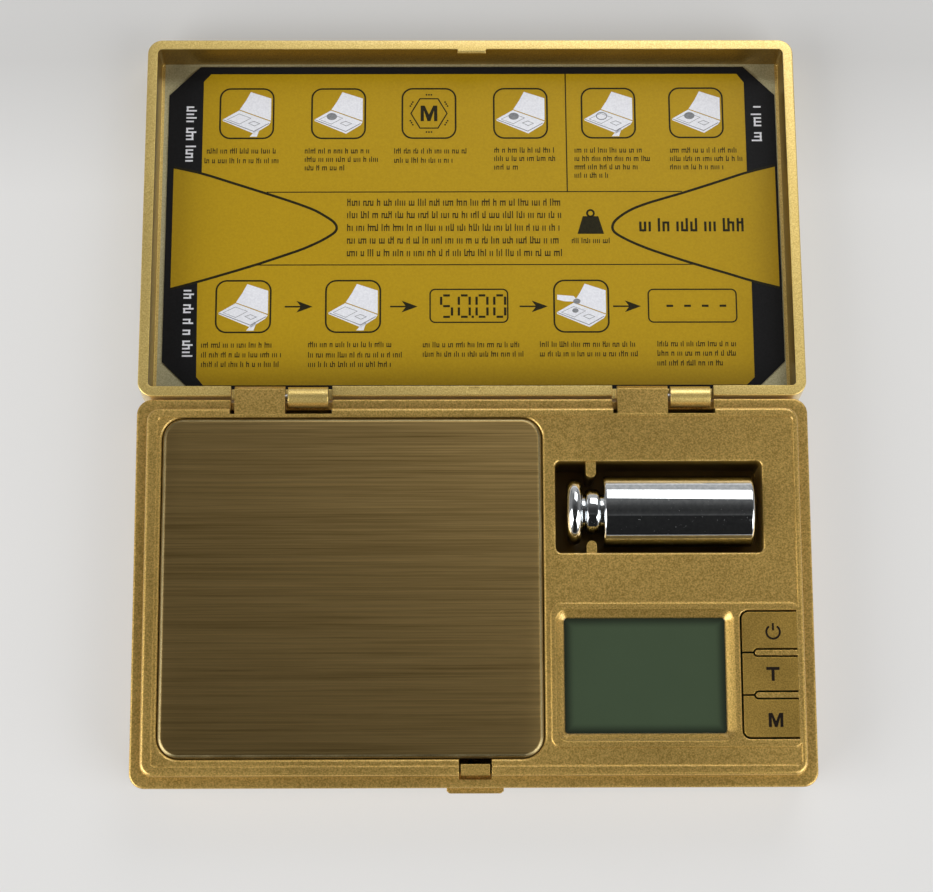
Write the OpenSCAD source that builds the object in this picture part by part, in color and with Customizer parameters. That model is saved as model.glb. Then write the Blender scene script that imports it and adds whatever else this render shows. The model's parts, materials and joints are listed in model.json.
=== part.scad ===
// Digital pocket scale with a fold back lid, standing open on a table.
// X runs to the right, Y away from the user, Z up. The origin is at the middle of the open scale's footprint.

/* [Case] */
// Width of the base and of the lid
case_w = 142; // [134:1:156]
// Depth of the base and of the lid, front to back
case_d = 81.9; // [80:0.1:92]
// Height of the hinge line above the table
hinge_h = 14.9; // [14.6:0.1:16.5]
// Radius of the upright corners
corner_r = 3.2; // [2.8:0.1:5]
// Wall of the two base shells
wall = 1.8; // [1.5:0.1:2.2]
// Thickness of the bottom
floor_t = 1.6; // [1.2:0.1:1.8]
// Height of the joint between the bottom shell and the top shell
parting_h = 8.4; // [7.4:0.1:9]
// Radius along the lower edges of the base and the outer edges of the lid
edge_r = 1.5; // [0.8:0.1:2]
// Radius of the base's lower edges, less what its lean takes away
base_edge_r = 3.0; // [1:0.1:3.2]
// Lean of the outer walls of the base, from rim to bottom
case_lean = 1.0; // [0:0.1:1.1]

/* [Top shell] */
// Width of the ledge that the lid's rim closes on
ledge_w = 2.35; // [2.3:0.05:2.7]
// Height of the deck above the hinge line
deck_rise = 1.9; // [1.8:0.1:2.4]
// Height of the raised lip above the deck
lip_rise = 0.3; // [0.1:0.05:0.5]
// Lip's inner edge, from the left side
lip_left = 4.8; // [4.4:0.1:5.2]
// Lip's inner edge, from the right side
lip_right = 3.6; // [3.3:0.1:3.9]
// Lip's inner edge, from the back
lip_back = 4.4; // [4.2:0.1:5]
// Lip's inner edge, from the front
lip_front = 4.4; // [4.1:0.1:4.9]
// Thickness of the deck
deck_t = 1.5; // [1.2:0.1:1.8]
// Height of the raised panel around the display and the keys
panel_rise = 0.25; // [0.1:0.05:0.4]

/* [Weighing platform] */
// Platform's left edge, from the left side of the case
platform_left = 5.85; // [5.8:0.01:7]
// Platform's right edge, from the right side of the case
platform_right = 56.56; // [56.5:0.01:62]
// Platform's back edge, from the back of the case
platform_back = 4.56; // [4.5:0.01:6]
// Platform's front edge, from the front of the case
platform_front = 6.04; // [6:0.01:8]
// Radius of the platform's corners
platform_r = 4.5; // [3:0.5:7]
// Thickness of the platform's steel sheet
sheet_t = 0.6; // [0.4:0.1:0.8]
// Depth of the platform's turned down edge
skirt_h = 2.2; // [1.8:0.1:2.4]
// Gap between the platform and the edge of its recess
platform_gap = 0.2; // [0.2:0.05:0.4]
// Sink of the platform at full load
platform_travel = 0.35; // [0.2:0.05:0.4]

/* [Calibration weight] */
// Radius of the weight's body
weight_r = 7.5; // [7:0.1:7.8]
// Length of the weight's body
weight_body_l = 31.35; // [28:0.05:33]
// Length of the weight's neck
weight_neck_l = 4.4; // [4:0.1:5.4]
// Radius of the weight's neck
weight_neck_r = 4.2; // [3.5:0.1:5]
// Growth of the neck's radius towards its ends
weight_neck_flare = 0.9; // [0.4:0.1:1.4]
// Length of the weight's head
weight_head_l = 3.28; // [2.8:0.01:3.6]
// Radius of the weight's head
weight_head_r = 6.7; // [6.2:0.1:6.8]
// Depth of the weight's axis below the hinge line
weight_drop = 1.3; // [0.8:0.1:1.8]
// Left end of the weight, from the right side of the case
weight_right = 51.4; // [51:0.01:51.8]

/* [Weight well] */
// Gap between the weight's head and the left end of the well
well_gap_left = 2.34; // [2:0.01:3]
// Gap between the weight's body and the right end of the well
well_gap_right = 2.05; // [1.2:0.01:2.4]
// Room around the weight from front to back, both sides together
well_gap_side = 4.45; // [4:0.05:5]
// Middle of the well, from the back of the case
well_back = 23.6; // [23.4:0.1:24.4]
// Wall of the well
well_wall = 1.1; // [0.9:0.1:1.15]
// Width of the clip fingers
finger_w = 2.1; // [1.8:0.1:2.4]
// Reach of the front clip finger into the well
finger_reach = 2.6; // [2:0.1:2.65]
// Reach of the back clip finger into the well
finger_reach_back = 3.4; // [2.6:0.1:3.6]

/* [Display] */
// Width of the display window
window_w = 33.4; // [31:0.1:33.8]
// Depth of the display window, front to back
window_d = 23.9; // [22:0.1:24.2]
// Middle of the window, from the right side of the case
window_right = 35.48; // [35.3:0.01:35.8]
// Middle of the window, from the front of the case
window_front = 22.98; // [22.7:0.01:23.2]
// Width of the bevel around the window
bevel_w = 1.6; // [1.2:0.1:1.7]
// Depth of the bevel around the window
bevel_h = 1.3; // [1:0.1:1.5]

/* [Keys] */
// Width of a key, from its free end to its root
key_w = 11.4; // [10:0.1:11.5]
// Thickness of a key
key_t = 1.5; // [1.2:0.1:1.8]
// Right end of the keys, from the right side of the case
key_right = 3.95; // [3.9:0.01:4.6]
// Slit around the keys
key_slit = 0.4; // [0.3:0.05:0.5]
// Front edge of the keys, from the front of the case
keys_front = 10.05; // [9.8:0.01:10.4]
// Depth of the back key, front to back
key_back_d = 8.46; // [8:0.01:8.6]
// Depth of the middle key, front to back
key_middle_d = 8.8; // [8.4:0.01:9]
// Depth of the front key, front to back
key_front_d = 8.66; // [8.2:0.01:8.8]
// Press of a key at its free end
key_travel = 0.35; // [0.2:0.05:0.4]

/* [Hinge] */
// Middle of each hinge, from the side of the case
hinge_in = 30.58; // [28:0.01:33]
// Gap between the base and the lid at the hinge line
hinge_gap = 0.7; // [0.68:0.01:0.8]
// Radius of the base's knuckles
knuckle_r = 2.34; // [2.3:0.01:2.5]
// Length of a base knuckle
knuckle_l = 10.65; // [9.5:0.05:11.5]
// Radius of the lid's barrels
barrel_r = 2.2; // [2.1:0.05:2.3]
// Length of a lid barrel
barrel_l = 8.45; // [7.5:0.05:9.5]
// Gap to the left of a knuckle
knuckle_gap = 0.95; // [0.7:0.05:1.2]
// Gap between a knuckle and its barrel
barrel_gap = 0.6; // [0.4:0.05:0.8]
// Gap to the right of a barrel
end_gap = 0.85; // [0.6:0.05:1.1]
// Radius of the hinge pins
pin_r = 0.8; // [0.7:0.05:0.9]

/* [Lid] */
// Height of the lid, from its rim to its outer face
lid_h = 9.2; // [8.8:0.1:9.6]
// Depth of the hollow in the lid
lid_depth = 7.7; // [7.4:0.1:7.8]
// Width of the lid's rim
rim_w = 2.2; // [1.9:0.05:2.2]
// Slope of the lid's inner walls, as their lean from rim to bottom
lid_draft = 0.2; // [0.1:0.05:0.4]
// Margin between the lid's inner walls and the instruction card, at its sides
card_gap_x = 1.35; // [0.9:0.05:1.6]
// Margin between the lid's inner walls and the instruction card, along the hinge
card_gap_y = 0.75; // [0.6:0.05:1]
// Shift of the card to the right
card_off = 0.4; // [0:0.1:0.6]
// Cut at the corners of the card
card_cut = 6.8; // [4:0.1:8]

/* [Latch] */
// Middle of the latch, from the middle of the case
latch_x = 0.25; // [-2:0.05:2]
// Width of the latch's tab
tab_w = 11.77; // [10:0.01:14]
// Height of the latch's tab
tab_h = 2.9; // [2.4:0.1:3]
// Reach of the tab in front of the case
tab_proud = 1.0; // [0.8:0.05:1.4]
// Width of the latch's notch in the deck
notch_w = 6.77; // [6.2:0.01:8]
// Reach of the lid's catch past the rim
catch_reach = 0.8; // [0.6:0.05:0.9]
// Width of the lid's catch
catch_w = 6.2; // [5:0.1:6.2]
// Press of the latch
latch_travel = 1.0; // [0.8:0.05:1.1]

/* [Inside] */
// Length of the load cell
cell_l = 47; // [40:1:50]
// Width of the load cell
cell_w = 12; // [10:0.5:13]
// Height of the load cell
cell_h = 6; // [5:0.1:6.4]
// Diameter of a battery
battery_d = 10.3; // [10.1:0.1:10.4]
// Length of a battery
battery_l = 44; // [43.5:0.1:44.5]
// Thickness of the circuit board
board_t = 1.2; // [0.8:0.1:1.6]
// Diameter of the rubber feet
foot_d = 8; // [6:0.5:9]
// Reach of the feet below the base
foot_proud = 0.6; // [0.4:0.1:0.8]

/* [Hidden] */
$fn = 48;
// Overshoot of a cut past the face that it opens
eps = 0.1;
// Running clearance around pins and sliding pieces
run_gap = 0.05;
// Clearance between pieces that only lie close
seat_gap = 0.1;

// Sides of the base
left_x = -case_w / 2;
right_x = case_w / 2;
// Angle past flat at which the open lid's far edge touches the table
lid_reach = hinge_gap / 2 + case_d - edge_r;
lid_drop = lid_h - edge_r;
open_tilt = asin((hinge_h - edge_r) / norm([lid_reach, lid_drop])) - atan2(lid_drop, lid_reach);
// Place of the hinge line, so that the open scale is centred on the origin
front_reach = hinge_gap / 2 + case_d + tab_proud;
back_reach = (hinge_gap / 2 + case_d) * cos(open_tilt);
hinge_y = (front_reach - back_reach) / 2;
back_y = hinge_y - hinge_gap / 2;
front_y = back_y - case_d;
mid_y = (back_y + front_y) / 2;

// Levels of the base, from the table up
bottom_z = foot_proud;
floor_z = bottom_z + floor_t;
rim_gap = 0.1;
ledge_z = hinge_h - rim_gap;
ledge_t = 1.5;
deck_z = hinge_h + deck_rise;
lip_z = deck_z + lip_rise;
panel_z = deck_z + panel_rise;
lip_edge_r = 0.7;
mouth_r = 0.6;
// Tongue and groove between the two shells
tongue_w = 0.8;
tongue_h = 1.0;

// Weighing platform and its recess
platform_w = case_w - platform_left - platform_right;
platform_d = case_d - platform_back - platform_front;
platform_x = left_x + platform_left + platform_w / 2;
platform_y = back_y - platform_back - platform_d / 2;
platform_z = deck_z + 0.2;
platform_edge_r = 1.1;
recess_w = platform_w + 2 * platform_gap;
recess_d = platform_d + 2 * platform_gap;
recess_floor_t = 1.1;
skirt_z = platform_z - skirt_h;
recess_z = skirt_z - platform_travel - 0.4;
recess_wall = 1.2;
carrier_t = 1.5;
carrier_gap = 0.2;
carrier_rib = 3;
carrier_web = 0.7;
head_sink = 0.2;
carrier_z = platform_z - sheet_t - carrier_t;

// Feet, near the corners
foot_in = 11.5;
foot_sink = 0.8;
foot_bevel = 0.3;

// Load cell, with its fixed end to the right
cell_pad_h = 2.0;
cell_z = floor_z + cell_pad_h;
cell_end_l = 13;
cell_screw_pitch = 6.5;
cell_screw_r = 1.5;
cell_slot_r = 2.1;
cell_slot_x = cell_l / 2 - cell_end_l - 3;
cell_slot_h = 1.6;
cell_head_r = 2.7;
cell_head_h = 1.6;
cell_hole_floor = 1;
cell_screw_bite = 3.6;
boss_in = 0.5;
boss_r = 1.2;
cover_l = cell_l - 2 * cell_end_l - 2;
cover_in = 1;
cover_r = 1.5;
cover_t = 0.9;
carrier_hole_w = cell_w + 2;
ribbon_w = 2.5;
ribbon_t = 0.5;

// Batteries, side by side along X
bay_wall = 1.0;
bay_play = 0.4;
bay_l = battery_l + 5.5;
bay_d = 2 * battery_d + 3 * bay_play;
bay_front = 8.4;
bay_y = front_y + bay_front + bay_d / 2;
bay_top_z = recess_z - recess_floor_t - seat_gap;
door_t = 1.3;
door_gap = 0.2;
door_ledge = 1.2;
door_w = bay_l + 2 * door_ledge;
door_d = bay_d + 2 * door_ledge;
bay_foot_gap = 2.1;
bay_x = left_x + foot_in + foot_d / 2 + bay_foot_gap + door_w / 2;
battery_z = bottom_z + door_t + seat_gap + battery_d / 2;
battery_pitch = battery_d + bay_play;
battery_nub_r = 1.9;
nub_t = 0.8;
contact_w = 8;
contact_t = 0.4;
contact_in = 0.2;
battery_coil_r = 2.8;
battery_wire_r = 0.25;
grip_w = 12;
grip_pitch = 1.1;
grip_in = 3.4;
grip_cut = 0.5;
grip_depth = 0.35;
hook_l = 1.2;
hook_w = 5;
hook_z = 0.5;
hook_x = 15;

// Calibration weight and its well
weight_x = right_x - weight_right;
weight_l = weight_head_l + weight_neck_l + weight_body_l;
weight_y = back_y - well_back - 0.6;
weight_z = hinge_h - weight_drop;
weight_chamfer = 0.5;
weight_head_edge = 1.55;
well_w = weight_l + well_gap_left + well_gap_right;
well_d = 2 * weight_r + well_gap_side;
well_x = weight_x - well_gap_left + well_w / 2;
well_y = back_y - well_back;
well_r = 1.2;
well_floor_t = 1.2;
well_play = 0.9;
well_z = weight_z - weight_r - well_play;
saddle_t = 2;
saddle_rise = 1.8;
saddle_w = 11;
finger_x = weight_x + weight_head_l + 1.92;

// Display, from its window down to the circuit board
window_x = right_x - window_right;
window_y = front_y + window_front;
window_z = deck_z - bevel_h;
window_r = 0.7;
lens_t = 1.0;
lens_lap = 1.2;
glass_t = 1.1;
glass_lap = 0.8;
glass_ledge = 2.6;
reflector_t = 0.8;
board_top_z = window_z - lens_t - 2 * glass_t - reflector_t - 0.1;
board_z = board_top_z - board_t;
panel_side = 1.25;
panel_margin = 1.46;

// Keys, listed from the back one to the front one
key_d = [key_back_d, key_middle_d, key_front_d];
key_x1 = right_x - key_right;
key_x0 = key_x1 - key_w;
key_root = 0.05;
key_edge_r = 0.25;
key_rib_w = 1.1;
key_rib_t = 1.2;
key_rib_sink = 0.15;
key_corner_r = 1.6;
key_narrow = 2.2;
key_top_z = panel_z;
stem_r = 1.2;
stem_from_end = 4.2;
switch_h = 1.3;
switch_r = 1.7;
switch_base = 4.2;
function key_y0(n) = key_y1(n) - key_d[n];
function key_y1(n) = front_y + keys_front + key_d[2] + (n < 2 ? key_d[1] : 0) + (n < 1 ? key_d[0] : 0);

// Circuit board
board_side = 1.2;
board_right = 4.6;
board_back_gap = 1.2;
board_x0 = window_x - window_w / 2 - board_side;
board_x1 = right_x - board_right;
board_y1 = well_y - well_d / 2 - well_wall - board_back_gap;
board_y0 = front_y + 5.0;
board_boss_r = 2.2;
board_screw_r = 0.8;
board_screw_bite = 2.2;
board_head_r = 1.6;
board_head_h = 0.9;
chip_w = 9;
chip_r = 2;
chip_t = 1.3;
board_posts = [
    [board_x1 - 3.2, board_y1 - 3.2],
    [board_x0 + 3.2, board_y0 + 2.6],
    [key_x0 - 1.4, board_y0 + 2.6]
];

// Hinge, from the left end of its slot
hinge_x = case_w / 2 - hinge_in;
slot_l = knuckle_gap + knuckle_l + barrel_gap + barrel_l + end_gap;
slot_front = 3.67;
slot_depth = barrel_r + 0.4;
notch_depth = knuckle_r + 0.4;
knuckle_x = -slot_l / 2 + knuckle_gap;
barrel_x = knuckle_x + knuckle_l + barrel_gap;
pin_in = 0.2;
pin_l = knuckle_l + barrel_gap + barrel_l - 2 * pin_in;
pin_fit = 0.01;

// Latch, with its hook standing in the notch
lid_face = case_d - rim_w;
hook_nose = 0.55;
hook_post_t = 1.45;
hook_top_z = lip_z - 0.1;
catch_h = 1.2;
nose_z = hinge_h + catch_h + 0.1;
hook_y0 = back_y - lid_face + catch_reach - hook_nose;
post_y0 = back_y - lid_face + catch_reach + 0.25;
post_y1 = post_y0 + hook_post_t;
post_w = notch_w - 0.8;
tab_z = ledge_z - ledge_t - 0.3 - tab_h;
flange_t = 1.2;
flange_lap = 1.4;
window_play = 0.12;
rib_count = 9;
rib_r = 0.35;
tab_brow = 0.8;
spring_wire = 0.35;
latch_spring_r = 1.3;
spring_z = tab_z + tab_h / 2 - 0.6;
nub_r = 0.8;
nub_l = 0.6;

// Screws of the case
case_screw_r = 1.1;
case_head_r = 2.1;
case_head_h = 1.4;
case_boss_r = 2.7;
case_screw_bite = 3.6;
screw_in = 6.0;
case_screws_at = [for (sx = [-1, 1], sy = [-1, 1])
    [sx * (case_w / 2 - screw_in), mid_y + sy * (case_d / 2 - screw_in)]];

// Shared shapes

// Rectangle with round corners, centred
module round_rect(w, d, r) {
    square([w - 2 * r, d], center = true);
    square([w, d - 2 * r], center = true);
    for (sx = [-1, 1], sy = [-1, 1])
        translate([sx * (w / 2 - r), sy * (d / 2 - r)]) circle(r);
}

// Plate with round corners, centred in X and Y and standing on Z zero
module plate(w, d, r, h) {
    linear_extrude(h) round_rect(w, d, r);
}

// A profile carried around a round cornered rectangle, drawn with X outwards and Y up
module around(w, d, r) {
    for (side = [0, 1])
        rotate([0, 0, 180 * side]) {
            translate([w / 2, 0, 0]) rotate([90, 0, 0])
                linear_extrude(d - 2 * r, center = true) children();
            rotate([0, 0, 90]) translate([d / 2, 0, 0]) rotate([90, 0, 0])
                linear_extrude(w - 2 * r, center = true) children();
            translate([w / 2 - r, d / 2 - r, 0])
                rotate_extrude(angle = 90) translate([r, 0]) children();
            translate([-w / 2 + r, d / 2 - r, 0]) rotate([0, 0, 90])
                rotate_extrude(angle = 90) translate([r, 0]) children();
        }
}

// Waste above the round over of an outer edge, whose top is at Y zero
module edge_waste(r) {
    difference() {
        translate([-r, -r]) square([r + eps, r + eps]);
        translate([-r, -r]) circle(r);
    }
}

// Plate whose upper and lower edges are rounded
module soft_plate(w, d, r, h, top_r, bottom_r) {
    difference() {
        plate(w, d, r, h);
        if (top_r > 0)
            translate([0, 0, h]) around(w, d, r) edge_waste(top_r);
        if (bottom_r > 0)
            around(w, d, r) mirror([0, 1]) edge_waste(bottom_r);
    }
}

// Waste of the round over at the mouth of a pocket
module mouth_waste(w, d, r, edge) {
    around(w, d, r) mirror([1, 0]) edge_waste(edge);
}

// Box given by its lowest and highest corners
module span(low, high) {
    translate(low) cube(high - low);
}

// Moves a shape to the middle of the base at a height
module at_mid(z) {
    translate([0, mid_y, z]) children();
}

// Cylinder along X that starts at its place
module rod_x(r, l) {
    rotate([0, 90, 0]) cylinder(r = r, h = l);
}

// Wire wound along Z with even turns, as one closed tube
module coil(r_low, r_high, wire, turns, l) {
    steps = 14 * turns;
    sides = 6;
    ring = function (i) let (t = i / steps, r = r_low + (r_high - r_low) * t, a = 360 * turns * t)
        [for (k = [0 : sides - 1]) let (b = 360 * k / sides, q = r + wire * cos(b))
            [q * cos(a), q * sin(a), wire + (l - 2 * wire) * t + wire * sin(b)]];
    points = [for (i = [0 : steps]) each ring(i)];
    walls = [for (i = [0 : steps - 1], k = [0 : sides - 1], half = [0, 1])
        let (a = i * sides + k, b = i * sides + (k + 1) % sides)
            half == 0 ? [a, a + sides, b] : [b, a + sides, b + sides]];
    low_cap = [for (k = [0 : sides - 1]) k];
    high_cap = [for (k = [0 : sides - 1]) steps * sides + sides - 1 - k];
    polyhedron(points, concat(walls, [low_cap, high_cap]));
}

// Base

// Bottom shell with the battery bay, the load cell's pad and the screw pillars
module base_tub() {
    color("#8a7038") difference() {
        union() {
            tub_walls();
            battery_bay_walls();
            cell_pad();
            for (p = case_screws_at)
                translate([p.x, p.y, bottom_z]) cylinder(r = case_boss_r, h = parting_h - bottom_z - seat_gap);
        }
        battery_door_opening();
        for (p = case_screws_at)
            translate([p.x, p.y, bottom_z - eps]) {
                cylinder(r = case_screw_r + run_gap, h = parting_h);
                cylinder(r = case_head_r + seat_gap, h = case_head_h + seat_gap + eps);
            }
        for (sx = [-1, 1], sy = [-1, 1])
            translate([foot_x(sx), foot_y(sy), bottom_z - eps])
                cylinder(d = foot_d, h = foot_sink + eps);
        cell_screw_holes();
    }
}

module tub_walls() {
    difference() {
        union() {
            at_mid(bottom_z) soft_plate(case_w, case_d, corner_r, parting_h - bottom_z, 0, base_edge_r);
            at_mid(parting_h - eps) plate(case_w - 2 * (wall - tongue_w), case_d - 2 * (wall - tongue_w),
                corner_r - wall + tongue_w, tongue_h + eps);
        }
        at_mid(floor_z) plate(case_w - 2 * wall, case_d - 2 * wall, corner_r - wall, hinge_h);
        lean_waste(bottom_z - eps, parting_h);
    }
}

// Waste outside the leaning walls of the base, between two heights
module lean_waste(z0, z1) {
    lean = case_lean / (ledge_z - bottom_z);
    at_mid(0) around(case_w, case_d, corner_r)
        polygon([[-lean * (ledge_z - z0), z0], [eps, z0], [eps, z1], [-lean * (ledge_z - z1), z1]]);
}

module battery_bay_walls() {
    difference() {
        union() {
            translate([bay_x, bay_y, bottom_z])
                plate(bay_l + 2 * bay_wall, bay_d + 2 * bay_wall, bay_wall, bay_top_z - bottom_z);
            translate([bay_x, bay_y, bottom_z])
                plate(door_w + 2 * bay_wall, door_d + 2 * bay_wall, bay_wall, door_t + 1.4);
        }
        translate([bay_x - bay_l / 2, bay_y - bay_d / 2, bottom_z - eps])
            cube([bay_l, bay_d, hinge_h]);
    }
    spring_seat();
}

// Wall beside the battery bay with a nub that centres the latch's spring
module spring_seat() {
    span([bay_x + bay_l / 2, bay_y - bay_d / 2 - bay_wall, bottom_z],
        [latch_x + latch_spring_r + 1.2, bay_y - bay_d / 2, bay_top_z]);
    translate([latch_x, bay_y - bay_d / 2 - bay_wall + eps, spring_z]) rotate([90, 0, 0])
        cylinder(r = nub_r, h = nub_l + eps);
}

module battery_door_opening() {
    translate([bay_x - door_w / 2 - door_gap, bay_y - door_d / 2 - door_gap, bottom_z - eps])
        cube([door_w + 2 * door_gap, door_d + 2 * door_gap, door_t + seat_gap / 2 + eps]);
    translate([bay_x - bay_l / 2, bay_y - bay_d / 2, bottom_z - eps])
        cube([bay_l, bay_d, hinge_h]);
    for (side = [-1, 1])
        translate([bay_x + side * hook_x - hook_w / 2 - door_gap, bay_y + door_d / 2 - 1, bottom_z + hook_z - seat_gap])
            cube([hook_w + 2 * door_gap, hook_l + door_gap + 1.2, door_t + 0.9]);
}

module cell_pad() {
    translate([platform_x + cell_l / 2 - cell_end_l, platform_y - cell_w / 2, bottom_z])
        cube([cell_end_l, cell_w, cell_z - bottom_z]);
}

function cell_screw_x(n) = platform_x + cell_l / 2 - cell_end_l / 2 + (n - 0.5) * cell_screw_pitch;
function free_screw_x(n) = platform_x - cell_l / 2 + cell_end_l / 2 + (n - 0.5) * cell_screw_pitch;

module cell_screw_holes() {
    for (n = [0, 1])
        translate([cell_screw_x(n), platform_y, bottom_z - eps]) {
            cylinder(r = cell_screw_r + run_gap, h = hinge_h / 2);
            cylinder(r = cell_head_r + seat_gap, h = cell_head_h + eps);
        }
}

function foot_x(sx) = sx * (case_w / 2 - foot_in);
function foot_y(sy) = mid_y + sy * (case_d / 2 - foot_in);

// Rubber foot pressed into a round recess of the bottom
module foot(sx, sy) {
    color("#2a2a2a") translate([foot_x(sx), foot_y(sy), 0]) {
        cylinder(d1 = foot_d - 2 * foot_bevel, d2 = foot_d - run_gap, h = foot_bevel);
        translate([0, 0, foot_bevel]) cylinder(d = foot_d - run_gap, h = foot_proud + foot_sink - foot_bevel);
    }
}

// Top shell: ledge, lip, deck, recess, well, bezel, key opening, knuckles and latch notch
module top_shell() {
    color("#8e753d") difference() {
        union() {
            shell_body();
            panel();
            recess_box();
            well_box();
            window_frame();
            board_bosses();
            case_bosses();
            for (side = [-1, 1]) translate([side * hinge_x, 0, 0]) knuckle();
        }
        recess_pocket();
        well_pocket();
        window_opening();
        key_opening();
        latch_notch();
        for (side = [-1, 1]) translate([side * hinge_x, 0, 0]) {
            hinge_slot();
            pin_bore();
        }
        for (p = case_screws_at)
            translate([p.x, p.y, 0]) cylinder(r = case_screw_r - run_gap, h = parting_h + case_screw_bite + 0.3);
        carrier_hole();
    }
    well_fittings();
    key_ribs();
}

module shell_body() {
    difference() {
        union() {
            at_mid(parting_h) soft_plate(case_w, case_d, corner_r, ledge_z - parting_h, 0.4, 0);
            at_mid(ledge_z - eps) soft_plate(case_w - 2 * ledge_w, case_d - 2 * ledge_w, corner_r - 0.4,
                lip_z - ledge_z + eps, lip_edge_r, 0);
        }
        lip_pocket();
        lean_waste(parting_h - eps, ledge_z - 0.4);
        at_mid(parting_h - eps) plate(case_w - 2 * wall, case_d - 2 * wall, corner_r - wall,
            ledge_z - ledge_t - parting_h + eps);
        at_mid(parting_h) plate(case_w - 2 * (ledge_w + wall), case_d - 2 * (ledge_w + wall), 0.8,
            deck_z - deck_t - parting_h);
        at_mid(parting_h - eps) plate(case_w - 2 * (wall - tongue_w - run_gap),
            case_d - 2 * (wall - tongue_w - run_gap), corner_r - wall + tongue_w + run_gap,
            tongue_h + seat_gap + eps);
    }
}

// Shallow pocket inside the lip, down to the deck
module lip_pocket() {
    w = case_w - lip_left - lip_right;
    d = case_d - lip_back - lip_front;
    translate([(lip_left - lip_right) / 2, mid_y + (lip_front - lip_back) / 2, deck_z]) {
        plate(w, d, 0.8, lip_rise + eps);
        translate([0, 0, lip_rise]) mouth_waste(w, d, 0.8, min(lip_rise, 0.25));
    }
}

// Raised panel around the display and the keys, running into the lip at the right
module panel() {
    x0 = window_x - window_w / 2 - bevel_w - panel_side;
    x1 = right_x - lip_right + 0.6;
    y0 = window_y - window_d / 2 - bevel_w - panel_margin;
    y1 = window_y + window_d / 2 + bevel_w + panel_margin;
    translate([(x0 + x1) / 2, (y0 + y1) / 2, deck_z - eps])
        soft_plate(x1 - x0, y1 - y0, 2.2, panel_rise + eps, 0.2, 0);
}

// Walls and floor of the platform's recess
module recess_box() {
    translate([platform_x, platform_y, recess_z - recess_floor_t])
        plate(recess_w + 2 * recess_wall, recess_d + 2 * recess_wall, platform_r + recess_wall,
            deck_z - recess_z + recess_floor_t - eps);
}

module recess_pocket() {
    translate([platform_x, platform_y, recess_z]) {
        plate(recess_w, recess_d, platform_r + platform_gap, lip_z);
        translate([0, 0, deck_z - recess_z])
            mouth_waste(recess_w, recess_d, platform_r + platform_gap, mouth_r);
    }
}

// Hole in the recess for the carrier's boss
module carrier_hole() {
    translate([platform_x - cell_l / 2 + cell_end_l / 2, platform_y, 0])
        plate(cell_end_l + 2, carrier_hole_w, 1.5, deck_z);
}

module well_box() {
    translate([well_x, well_y, well_z - well_floor_t])
        plate(well_w + 2 * well_wall, well_d + 2 * well_wall, well_r + well_wall,
            deck_z - well_z + well_floor_t - eps);
}

module well_pocket() {
    translate([well_x, well_y, well_z]) {
        plate(well_w, well_d, well_r, hinge_h);
        translate([0, 0, deck_z - well_z]) mouth_waste(well_w, well_d, well_r, 0.45);
    }
}

// Saddles under the weight and the two clip fingers at its neck
module well_fittings() {
    color("#8e753d") {
        for (share = [0.2, 0.8])
            translate([weight_x + weight_head_l + weight_neck_l + weight_body_l * share, 0, 0]) saddle();
        for (side = [-1, 1])
            translate([finger_x, well_y + side * well_d / 2, 0]) finger(side);
    }
}

module saddle() {
    difference() {
        translate([-saddle_t / 2, weight_y - saddle_w / 2, well_z - eps])
            cube([saddle_t, saddle_w, well_play + saddle_rise + eps]);
        translate([-saddle_t, weight_y, weight_z]) rod_x(weight_r + run_gap, 2 * saddle_t);
    }
}

module finger(side) {
    reach = (side > 0 ? finger_reach_back : finger_reach) - finger_w / 2;
    h = deck_z - 0.5 - well_z;
    translate([-finger_w / 2, side > 0 ? -reach : -eps, well_z - eps]) cube([finger_w, reach + eps, h]);
    translate([0, -side * reach, well_z - eps]) cylinder(d = finger_w, h = h);
}

// Frame under the deck that seats the display's window
module window_frame() {
    translate([window_x, window_y, window_z - lens_t])
        plate(window_w + 2 * lens_lap + 2.4, window_d + 2 * lens_lap + 2.4, 1.2, deck_z - window_z);
}

module window_opening() {
    translate([window_x, window_y, 0]) {
        translate([0, 0, board_z]) plate(window_w, window_d, window_r, deck_z);
        translate([0, 0, deck_z]) around(window_w, window_d, window_r)
            polygon([[-eps, -bevel_h], [0, -bevel_h], [bevel_w, 0], [bevel_w + panel_rise, panel_rise + eps],
                [-eps, panel_rise + eps]]);
        translate([0, 0, window_z - lens_t - eps])
            plate(window_w + 2 * lens_lap + 0.1, window_d + 2 * lens_lap + 0.1, 1.0, lens_t + eps);
    }
}

// Opening for the three keys, with its walls
module key_opening() {
    y1 = key_y1(0) + key_slit;
    y0 = key_y0(2) - key_slit;
    x1 = key_x1 + key_root;
    x0 = key_x0 - key_slit;
    r = key_corner_r + key_slit / 2;
    translate([(x0 + x1) / 2, (y0 + y1) / 2, board_z]) plate(x1 - x0, y1 - y0, r, deck_z);
    span([(x0 + x1) / 2, y0, board_z], [x1, y1, deck_z + board_z]);
    intersection() {
        translate([(x0 + x1) / 2 + 2 * r, (y0 + y1) / 2, panel_z])
            mouth_waste(x1 - x0 + 4 * r, y1 - y0, r, key_edge_r);
        span([x0 - 1, y0 - 1, board_z], [x1, y1 + 1, lip_z + eps]);
    }
}

// Ribs that reach in from the right between the keys
module key_ribs() {
    start = key_x0 + key_narrow + key_slit;
    color("#8e753d") for (m = [0, 1])
        translate([start, key_y0(m), key_top_z - key_rib_sink - key_rib_t])
            key_bar(key_rib_w, key_x1 + key_root + 0.5 - start, key_rib_t);
}

// Bosses under the deck for the circuit board
module board_bosses() {
    for (p = board_posts)
        translate([p.x, p.y, board_top_z]) difference() {
            cylinder(r = board_boss_r, h = deck_z - deck_t - board_top_z + eps);
            translate([0, 0, -eps]) cylinder(r = board_screw_r - run_gap, h = board_screw_bite + 0.3 + eps);
        }
}

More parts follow.
